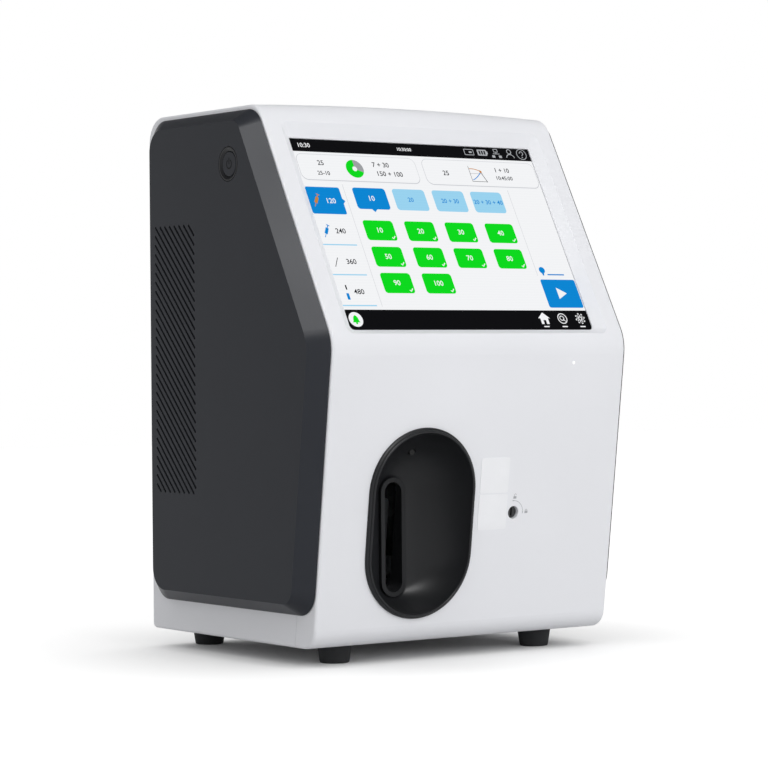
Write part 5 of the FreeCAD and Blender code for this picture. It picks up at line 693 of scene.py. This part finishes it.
# Plain figures by colour: the text, its place across and up, and its height
FIGURES = {
    "white": [("10:30", -93.4, 156.2, 3.4), ("10:30:00", -8.7, 156.3, 2.6),
              ("10", -50.9, 115.0, 4.0), ("120", -85.6, 112.0, 3.9)],
    "dark": [("240", -85.6, 88.2, 3.9), ("360", -85.0, 64.3, 3.9), ("480", -86.6, 41.0, 3.9),
             ("25", -83.8, 142.4, 3.8), ("25-10", -83.8, 134.2, 3.1), ("7 + 30", -33.6, 142.6, 3.8),
             ("150 + 100", -28.2, 135.4, 3.8), ("25", 21.6, 138.2, 3.8), ("1 + 10", 72.6, 142.2, 3.6),
             ("10:45:00", 72.6, 135.6, 3.1)],
}


def tile_places():
    """The left foot corners of the measured value tiles, row by row."""
    return [(left, foot) for foot, count in zip(TILE_FEET, TILE_COUNTS) for left in TILE_LEFTS[:count]]


def tick(x, y):
    """A small tick: a short stroke down and a longer one up."""
    return stroke([(x - 1.3, y + 0.1), (x - 0.4, y - 0.9), (x + 1.5, y + 1.3)], 0.8)


def slanted(x, y, length, width, angle):
    """A short bar about a point, turned by an angle in degrees."""
    way = np.array([math.cos(math.radians(angle)), math.sin(math.radians(angle))]) * length / 2
    middle = np.array([x, y])
    return stroke([middle - way, middle + way], width)


def syringe(x, y, angle):
    """A syringe sign: bars on one slanted line, each given by its reach along it, length and width."""
    barrel = (0.0, 5.2, 2.4)
    rod = (3.6, 2.6, 0.7)
    thumb_plate = (5.0, 0.7, 2.6)
    needle = (-4.2, 3.2, 0.5)
    way = np.array([math.cos(math.radians(angle)), math.sin(math.radians(angle))])
    return [slanted(*(np.array([x, y]) + way * reach), length, width, angle)
            for reach, length, width in (barrel, rod, thumb_plate, needle)]


def gear_sign(x, y):
    """A gear: a flat ring whose rim radius follows a clipped sine of the angle, over a small ring."""
    teeth = 8
    pitch_radius = 3.5
    tooth_half = 0.75
    flank_steepness = 2.5
    web = 0.8
    turn = np.linspace(0, FULL_CIRCLE, 4 * CIRCLE_STEPS + 1)
    rim = pitch_radius + tooth_half * np.clip(flank_steepness * np.sin(teeth * turn), -1, 1)
    line = np.stack([np.cos(turn), np.sin(turn)], axis=1)
    return [strip((x, y) + (rim - web)[:, None] * line, (x, y) + rim[:, None] * line), ring(x, y, 1.0, 1.7)]


def bell_sign(x, y):
    """A bell: a dome whose half width grows towards its lip, over a round clapper."""
    heights = y + np.array([-2.2, -1.7, -0.6, 0.8, 2.0, 2.8, 3.3])
    half_widths = [3.3, 2.6, 2.2, 2.0, 1.5, 0.8, 0.0]
    return [mirrored(x, heights, half_widths), disc(x, y - 2.8, 0.8)]


def house_sign(x, y):
    """A house: a roof over two wall halves that leave a doorway, and a lintel between them."""
    eaves = y + 0.4
    spread = 2.25
    wall_half = 1.15
    roof = mirrored(x, [y + 0.2, y + 4.6], [5.2, 0.3])
    walls = [tile((x + side - wall_half, x + side + wall_half), (y - 4.4, eaves))
             for side in (-spread, spread)]
    lintel = tile((x - 1.2, x + 1.2), (y - 1.2, eaves))
    return [roof, *walls, lintel]


def loupe_sign(x, y):
    """A magnifier in a ring: a small ring with a short slanted handle."""
    lens = ring(x - 0.4, y + 0.3, 1.4, 2.0)
    handle = slanted(x + 1.3, y - 1.4, 2.6, 0.6, -45)
    return [ring(x, y, 3.5, 4.2), lens, handle]


def person_sign(x, y):
    """A person: a round head over bent shoulders."""
    bend = 0.25
    head = ring(x, y + 1.6, 1.5, 2.1)
    shoulders = ring(x, y - 4.4, 3.4, 4.0, bend, math.pi - bend)
    return [head, shoulders]


def card_sign(x, y):
    """A memory card: an outline with a small block to the right in it."""
    return outline_box(x, y, 8.0, 4.6, 0.5) + [box_of(x + 1.3, y, 2.6, 1.4)]


def cell_sign(x, y):
    """A battery: a block with a nose on its right."""
    return [box_of(x, y, 8.4, 5.0, 0.8), box_of(x + 4.6, y, 0.9, 2.4, 0.3)]


def cell_bars(x, y):
    """The three charge bars on the battery."""
    return [box_of(x + step, y, 1.4, 3.2) for step in (-2.2, 0.0, 2.2)]


def question_sign(x, y):
    """A question sign in a ring: an arc from the left over the top, a straight foot and a dot."""
    hook_radius = 1.5
    hook_lift = 0.8
    hook_end = -0.6
    turn = np.linspace(math.pi, hook_end, ARC_STEPS + 1)
    arc = np.stack([x + hook_radius * np.cos(turn), y + hook_lift + hook_radius * np.sin(turn)], axis=1)
    hook = np.concatenate([arc, [(x, y - 0.9)]])
    return [ring(x, y, 4.0, 4.5), stroke(hook, 0.55), disc(x, y - 2.4, 0.5)]


def net_sign(x, y):
    """A network: an outlined box over two small ones, joined by lines."""
    line = 0.5
    spread = 3.0
    joint = y - 0.3
    boxes = [box_of(x + side, y - 2.6, 2.6, 2.0) for side in (-spread, spread)]
    joints = [stroke([(x - spread, joint), (x + spread, joint)], line),
              stroke([(x, joint), (x, y + 1.2)], line)]
    return outline_box(x, y + 2.4, 3.4, 2.4, line) + boxes + joints


def pin_sign(x, y):
    """A map pin: a disc over a foot that narrows downwards."""
    return [disc(x, y, 2.6), mirrored(x, [y - 4.4, y - 0.2], [0.5, 1.6])]


def curve_points(x, y, rise, bow):
    """Points of a bowed line: y is a share of the width plus a bow that is zero at both ends."""
    share = np.linspace(0, 1, ARC_STEPS + 1)
    return np.stack([x[0] + (x[1] - x[0]) * share, y + rise * share + bow * share * (1 - share)], axis=1)


def rim_box(x, y, radius, line):
    """The thin border of a card: a round-cornered rectangle grown by the border's width."""
    return tile((x[0] - line, x[1] + line), (y[0] - line, y[1] + line), radius + line)


SCREEN_SPAN = (-SCREEN_HALF_WIDTH, SCREEN_HALF_WIDTH)
ground = [tile(SCREEN_SPAN, (FOOT_BAR_TOP, HEAD_BAR_FOOT))]
bars = [tile(SCREEN_SPAN, (SCREEN_FOOT, FOOT_BAR_TOP)), tile(SCREEN_SPAN, (HEAD_BAR_FOOT, SCREEN_TOP))]
borders = [rim_box(x, (y[0] - CARD_SHADE, y[1]), CARD_CORNER, CARD_BORDER) for x, y in CARDS]
borders += [stroke(rule, RULE_LINE) for rule in RULES]
cards = [tile(x, y, CARD_CORNER) for x, y in CARDS]

blue = [tile(*SIDE_TAB, SIDE_TAB_CORNER), arrow_head(*SIDE_POINTER)]
blue += [tile((TAB_LEFTS[0], TAB_LEFTS[0] + TAB_WIDTH), (TAB_FOOT, TAB_TOP), TILE_CORNER),
         mirrored(TAB_POINTER_X, [TAB_FOOT - TAB_POINTER["depth"], TAB_FOOT + TAB_POINTER["overlap"]],
                  [0.0, TAB_POINTER["half_width"]])]
blue += [tile(*START_BUTTON, START_CORNER), *pin_sign(*PIN_SIGN), box_of(*PIN_WORD)]
pale_tabs = [tile((left, left + TAB_WIDTH), (TAB_FOOT, TAB_TOP), TILE_CORNER) for left in TAB_LEFTS[1:]]
pale_tabs += [tile(SIDE_LINE_SPAN, (level - SIDE_LINE_HALF, level + SIDE_LINE_HALF))
              for level in SIDE_LINE_LEVELS]
tiles = [tile((x, x + TILE_WIDTH), (y, y + TILE_HEIGHT), TILE_CORNER) for x, y in tile_places()]
tiles += [ring(*GAUGE, GAUGE_BORE, GAUGE_RIM, QUARTER, FULL_CIRCLE - GAUGE_END)]

white_marks = [disc(*BELL, BELL_DISC)] + house_sign(HOUSE_X, FOOT_SIGN_UP)
white_marks += loupe_sign(LOUPE_X, FOOT_SIGN_UP) + gear_sign(GEAR_X, FOOT_SIGN_UP)
white_marks += [box_of(x, WORD_UP, WORD_WIDTH, WORD_HEIGHT, WORD_CORNER) for x in (HOUSE_X, LOUPE_X, GEAR_X)]
white_marks += [tick(x + TILE_WIDTH - TICK_INSET[0], y + TICK_INSET[1]) for x, y in tile_places()]
white_marks += [figures(str(TILE_STEP * (index + 1)), x + TILE_WIDTH / 2 + NUMBER_SHIFT[0],
                        y + TILE_HEIGHT / 2 + NUMBER_SHIFT[1], NUMBER_HEIGHT)
                for index, (x, y) in enumerate(tile_places())]
white_marks += [figures(*entry) for entry in FIGURES["white"]] + [arrow_head(*START_ARROW)]
head_marks = card_sign(CARD_SIGN_X, HEAD_SIGN_UP) + cell_sign(CELL_SIGN_X, HEAD_SIGN_UP)
head_marks += net_sign(*NET_SIGN) + person_sign(*PERSON_SIGN) + question_sign(QUESTION_X, HEAD_SIGN_UP)

blue_marks = [figures(text, left + TAB_WIDTH / 2, TAB_TEXT_UP, TAB_TEXT_HEIGHT)
              for text, left in zip(TAB_TEXTS, TAB_LEFTS[1:])]
blue_marks += syringe(*BLUE_SYRINGE, SYRINGE_ANGLE) + [box_of(*VIAL)]
blue_marks += [stroke(curve_points(*RISING_CURVE), CURVE_LINE)]
dark_marks = [slanted(*BARE_NEEDLE, SYRINGE_ANGLE), box_of(*VIAL_NECK)]
dark_marks += [figures(*entry) for entry in FIGURES["dark"]]
dark_marks += [stroke([(GRAPH_X, GRAPH_FOOT + GRAPH_HEIGHT), (GRAPH_X, GRAPH_FOOT)], AXIS_LINE),
               stroke([(GRAPH_X, GRAPH_FOOT), (GRAPH_X + GRAPH_WIDTH, GRAPH_FOOT)], AXIS_LINE),
               stroke(STEEP_LINE, STEEP_LINE_WIDTH)]
grey_marks = [ring(*GAUGE, GAUGE_BORE, GAUGE_RIM, -GAUGE_END, QUARTER), stroke(LEVEL_LINE, RULE_LINE)]
orange_marks = [stroke(curve_points(*FALLING_CURVE), CURVE_LINE), disc(*CURVE_DOT)]
orange_marks += syringe(*ORANGE_SYRINGE, SYRINGE_ANGLE)
black_marks = cell_bars(CELL_SIGN_X, HEAD_SIGN_UP)
green_marks = bell_sign(*BELL)

# Each film of the picture: its name, its shapes, its colour and how many film steps it lies above the glass
LAYERS = [
    ("picture_ground", ground, "white", 1),
    ("picture_bars", bars, "black", 1),
    ("picture_borders", borders, "border", 2),
    ("picture_cards", cards, "white", 3),
    ("picture_blue_tiles", blue, "blue", 2),
    ("picture_pale_tabs", pale_tabs, "light_blue", 2),
    ("picture_value_tiles", tiles, "green", 4),
    ("picture_white_signs", white_marks, "white", 5),
    ("picture_head_signs", head_marks, "pale_grey", 5),
    ("picture_blue_signs", blue_marks, "blue", 4),
    ("picture_dark_signs", dark_marks, "dark", 4),
    ("picture_grey_signs", grey_marks, "grey", 4),
    ("picture_orange_signs", orange_marks, "orange", 5),
    ("picture_black_signs", black_marks, "black", 6),
    ("picture_green_signs", green_marks, "green", 6),
]
for name, shapes, colour, layer in LAYERS:
    piece(name, *laid(shapes, UPPER_FACE, layer * FILM_STEP - GLASS_SETBACK), PICTURE[colour],
          "housing", "display")


# Marks round the key lock: an arc with end ticks, an open padlock above and a closed one to the right

LOCK_X = 34.9
LOCK_UP = -119.6
ARC_RADIUS = 8.2
ARC_LINE = 0.35
ARC_START = 0.05
TICK_LINE = 0.6
TOP_TICK = (-1.3, 0.2)
SIDE_TICK = (-0.8, 0.6)
PADLOCK_REACH = 11.3
PADLOCK_WIDTH = 2.6
PADLOCK_BODY = 1.7
SHACKLE_BORE = 0.6
SHACKLE_RIM = 0.95
SHACKLE_LEG = 0.78
SHACKLE_LINE = 0.35
LEG_SUNK = 0.1
OPEN_ASIDE = 0.6
OPEN_SHACKLE = {"lift": 0.9, "shift": 0.3, "legs": (-1,)}
CLOSED_ABOVE = 0.8
CLOSED_SHACKLE = {"lift": 0.3, "shift": 0.0, "legs": (-1, 1)}


def padlock(x, y, lift, shift, legs):
    """A padlock sign: a body under a half-ring shackle, which is lifted and moved, and stands on its legs."""
    middle = x + shift
    marks = [tile((x - PADLOCK_WIDTH / 2, x + PADLOCK_WIDTH / 2), (y - PADLOCK_BODY, y)),
             ring(middle, y + lift, SHACKLE_BORE, SHACKLE_RIM, 0, math.pi)]
    for side in legs:
        leg = middle + side * SHACKLE_LEG
        marks.append(stroke([(leg, y - LEG_SUNK), (leg, y + lift)], SHACKLE_LINE))
    return marks


arc_top = LOCK_UP + ARC_RADIUS
arc_right = LOCK_X + ARC_RADIUS
lock_marks = [ring(LOCK_X, LOCK_UP, ARC_RADIUS - ARC_LINE / 2, ARC_RADIUS + ARC_LINE / 2, ARC_START, QUARTER),
              stroke([(LOCK_X + step, arc_top) for step in TOP_TICK], TICK_LINE),
              stroke([(arc_right, LOCK_UP + step) for step in SIDE_TICK], TICK_LINE)]
lock_marks += padlock(LOCK_X + OPEN_ASIDE, LOCK_UP + PADLOCK_REACH, **OPEN_SHACKLE)
lock_marks += padlock(LOCK_X + PADLOCK_REACH, LOCK_UP + CLOSED_ABOVE, **CLOSED_SHACKLE)
piece("lock_position_marks", *laid(lock_marks, LOWER_FACE, INK_PROUD), GREY_INK, "housing", "housing_white")


# Power sign on the button's cap: an open ring with a bar through its gap

SIGN_RADIUS = 3.0
SIGN_LINE = 0.95
SIGN_GAP = 0.55
SIGN_BAR = (-0.2, 4.3)
cap_low, cap_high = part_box("power_button")
cap_middle = (cap_low + cap_high) / 2 / MM
CAP_FACE = (np.array([cap_low.x / MM, cap_middle.y, cap_middle.z]), np.array([0.0, -1.0, 0.0]),
            np.array([0.0, 0.0, 1.0]), np.array([-1.0, 0.0, 0.0]))
power_sign = [ring(0, 0, SIGN_RADIUS - SIGN_LINE / 2, SIGN_RADIUS + SIGN_LINE / 2, QUARTER + SIGN_GAP,
                   QUARTER + FULL_CIRCLE - SIGN_GAP),
              stroke([(0, end) for end in SIGN_BAR], SIGN_LINE)]
piece("power_sign", *laid(power_sign, CAP_FACE, INK_PROUD), DARK_INK, "button", "cover_grey")


# Bead round the sample port's mouth, moulded with its rim

PORT_X = -44.4
PORT_UP = -123.9
PORT_MOUTH_HALF_WIDTH = 40.5
PORT_MOUTH_HALF_HEIGHT = 61.8
PORT_RIM_PROUD = 2.5
BEAD_RADIUS = 0.9
BEAD_LIFT = 0.2
BEAD_STEPS = 12


def oval_bead(middle, half_width, half_height, radius, level):
    """A round bead along an upright oval on the lower face. The oval's point at an angle is its half width
    along that angle's direction, moved up or down by half the straight side. The bead's circle turns from
    that direction to the way out."""
    along = np.linspace(0, math.pi, CIRCLE_STEPS + 1)
    along = np.concatenate([along, along + math.pi])
    end = np.repeat([1.0, -1.0], CIRCLE_STEPS + 1) * (half_height - half_width)
    around = np.linspace(0, FULL_CIRCLE, BEAD_STEPS, endpoint=False)
    reach = half_width + radius * np.cos(around)
    across = middle[0] + np.cos(along)[:, None] * reach
    up = middle[1] + end[:, None] + np.sin(along)[:, None] * reach
    out = np.broadcast_to(level + radius * np.sin(around), across.shape)
    origin, *ways = LOWER_FACE
    points = origin + sum(part[..., None] * way for part, way in zip((across, up, out), ways))
    rows, columns = np.meshgrid(np.arange(len(along)), np.arange(BEAD_STEPS), indexing="ij")
    next_row, next_column = (rows + 1) % len(along), (columns + 1) % BEAD_STEPS
    corners = [(rows, columns), (next_row, columns), (next_row, next_column), (rows, next_column)]
    faces = np.stack([row * BEAD_STEPS + column for row, column in corners], axis=-1)
    return MM * points.reshape(-1, 3), faces.reshape(-1, 4).tolist()


bead = piece("port_rim_bead",
             *oval_bead((PORT_X, PORT_UP), PORT_MOUTH_HALF_WIDTH + BEAD_RADIUS,
                        PORT_MOUTH_HALF_HEIGHT + BEAD_RADIUS, BEAD_RADIUS, PORT_RIM_PROUD + BEAD_LIFT),
             PORT, "housing", "port_black")
bead.data.polygons.foreach_set("use_smooth", [True] * len(bead.data.polygons))


# Floor, light and camera

def shown_rays(tree):
    """One for the rays that camera, gloss and glass send out, and zero for those that carry light."""
    ray = add(tree, "ShaderNodeLightPath")
    either = add(tree, "ShaderNodeMath", {0: ray.outputs["Is Camera Ray"], 1: ray.outputs["Is Glossy Ray"]},
                 operation="MAXIMUM")
    return add(tree, "ShaderNodeMath", {0: either.outputs[0], 1: ray.outputs["Is Transmission Ray"]},
               operation="MAXIMUM").outputs[0]


def studio_floor():
    """Matt paper: it takes the object's shadow, and glows up to white where nothing stands close over it; the
    glow fading near the object paints a shadow there.
    """
    material = bpy.data.materials.new("matt_paper_sweep")
    material.use_nodes = True
    tree = material.node_tree
    tree.nodes.clear()
    # Painted shadow: the glow is held back where the object stands close over the floor
    painted_shadow_openness = add(tree, "ShaderNodeAmbientOcclusion", {"Distance": SHADE_REACH}, samples=SHADE_SAMPLES)
    glow = add(tree, "ShaderNodeMath", {0: shown_rays(tree), 1: painted_shadow_openness.outputs["AO"]}, operation="MULTIPLY")
    strength = add(tree, "ShaderNodeMath", {0: glow.outputs[0], 1: FLOOR_GLOW}, operation="MULTIPLY")
    paper = add(tree, "ShaderNodeBsdfDiffuse", {"Color": linear("#d8d8d8")})
    light = add(tree, "ShaderNodeEmission", {"Color": linear("#ffffff"), "Strength": strength.outputs[0]})
    both = add(tree, "ShaderNodeAddShader", {0: paper.outputs[0], 1: light.outputs[0]})
    add(tree, "ShaderNodeOutputMaterial", {"Surface": both.outputs[0]})
    return material


GROUND_PLANE = (np.zeros(3), *np.eye(3))
floor_sheet = tile((-FLOOR_REACH, FLOOR_REACH), (-FLOOR_REACH, FLOOR_REACH))
floor = mesh_object("floor", *laid([floor_sheet], GROUND_PLANE, 0.0), studio_floor())


def soft_box(name, place, width, height, power, gloss_only=False):
    """A square lamp that faces the middle of the analyzer; a gloss card shows in shiny surfaces alone."""
    lamp = bpy.data.lights.new(name, "AREA")
    lamp.shape = "RECTANGLE"
    lamp.size = width
    lamp.size_y = height
    lamp.energy = power
    holder = bpy.data.objects.new(name, lamp)
    holder.location = place
    holder.rotation_euler = (CAMERA_TARGET - Vector(place)).to_track_quat("-Z", "Y").to_euler()
    holder.visible_diffuse = not gloss_only
    bpy.context.scene.collection.objects.link(holder)


soft_box("key_light", **KEY_LIGHT)
soft_box("top_light", **TOP_LIGHT)
soft_box("left_card", **LEFT_CARD)


def studio_world():
    """An even room light; camera, gloss and glass see white walls under a dim ceiling instead."""
    world = bpy.data.worlds.new("studio")
    bpy.context.scene.world = world
    world.use_nodes = True
    tree = world.node_tree
    tree.nodes.clear()
    way = add(tree, "ShaderNodeTexCoord").outputs["Generated"]
    height = add(tree, "ShaderNodeSeparateXYZ", {"Vector": way}).outputs["Z"]
    shown = add(tree, "ShaderNodeMapRange", {"Value": height, "From Min": WALL_TOP, "From Max": CEILING_FOOT,
                                             "To Min": 1.0, "To Max": CEILING_SHEEN})
    strength = add(tree, "ShaderNodeMapRange", {"Value": shown_rays(tree), "To Min": ROOM_LIGHT,
                                                "To Max": shown.outputs["Result"]})
    light = add(tree, "ShaderNodeBackground",
                {"Color": linear("#ffffff"), "Strength": strength.outputs["Result"]})
    add(tree, "ShaderNodeOutputWorld", {"Surface": light.outputs[0]})


studio_world()

camera_data = bpy.data.cameras.new("camera")
camera_data.lens = CAMERA_LENS
camera_data.sensor_width = CAMERA_SENSOR
camera_data.clip_end = CAMERA_REACH
camera = bpy.data.objects.new("camera", camera_data)
ahead = (CAMERA_TARGET - CAMERA_PLACE).normalized()
level_right = ahead.cross(Vector((0, 0, 1))).normalized()
level_up = level_right.cross(ahead)
right = level_right * math.cos(CAMERA_ROLL) + level_up * math.sin(CAMERA_ROLL)
up = level_up * math.cos(CAMERA_ROLL) - level_right * math.sin(CAMERA_ROLL)
turn = Matrix((right, up, -ahead)).transposed().to_4x4()
camera.matrix_world = Matrix.Translation(CAMERA_PLACE) @ turn
bpy.context.scene.collection.objects.link(camera)
bpy.context.scene.camera = camera

bpy.context.scene.view_settings.view_transform = "Standard"
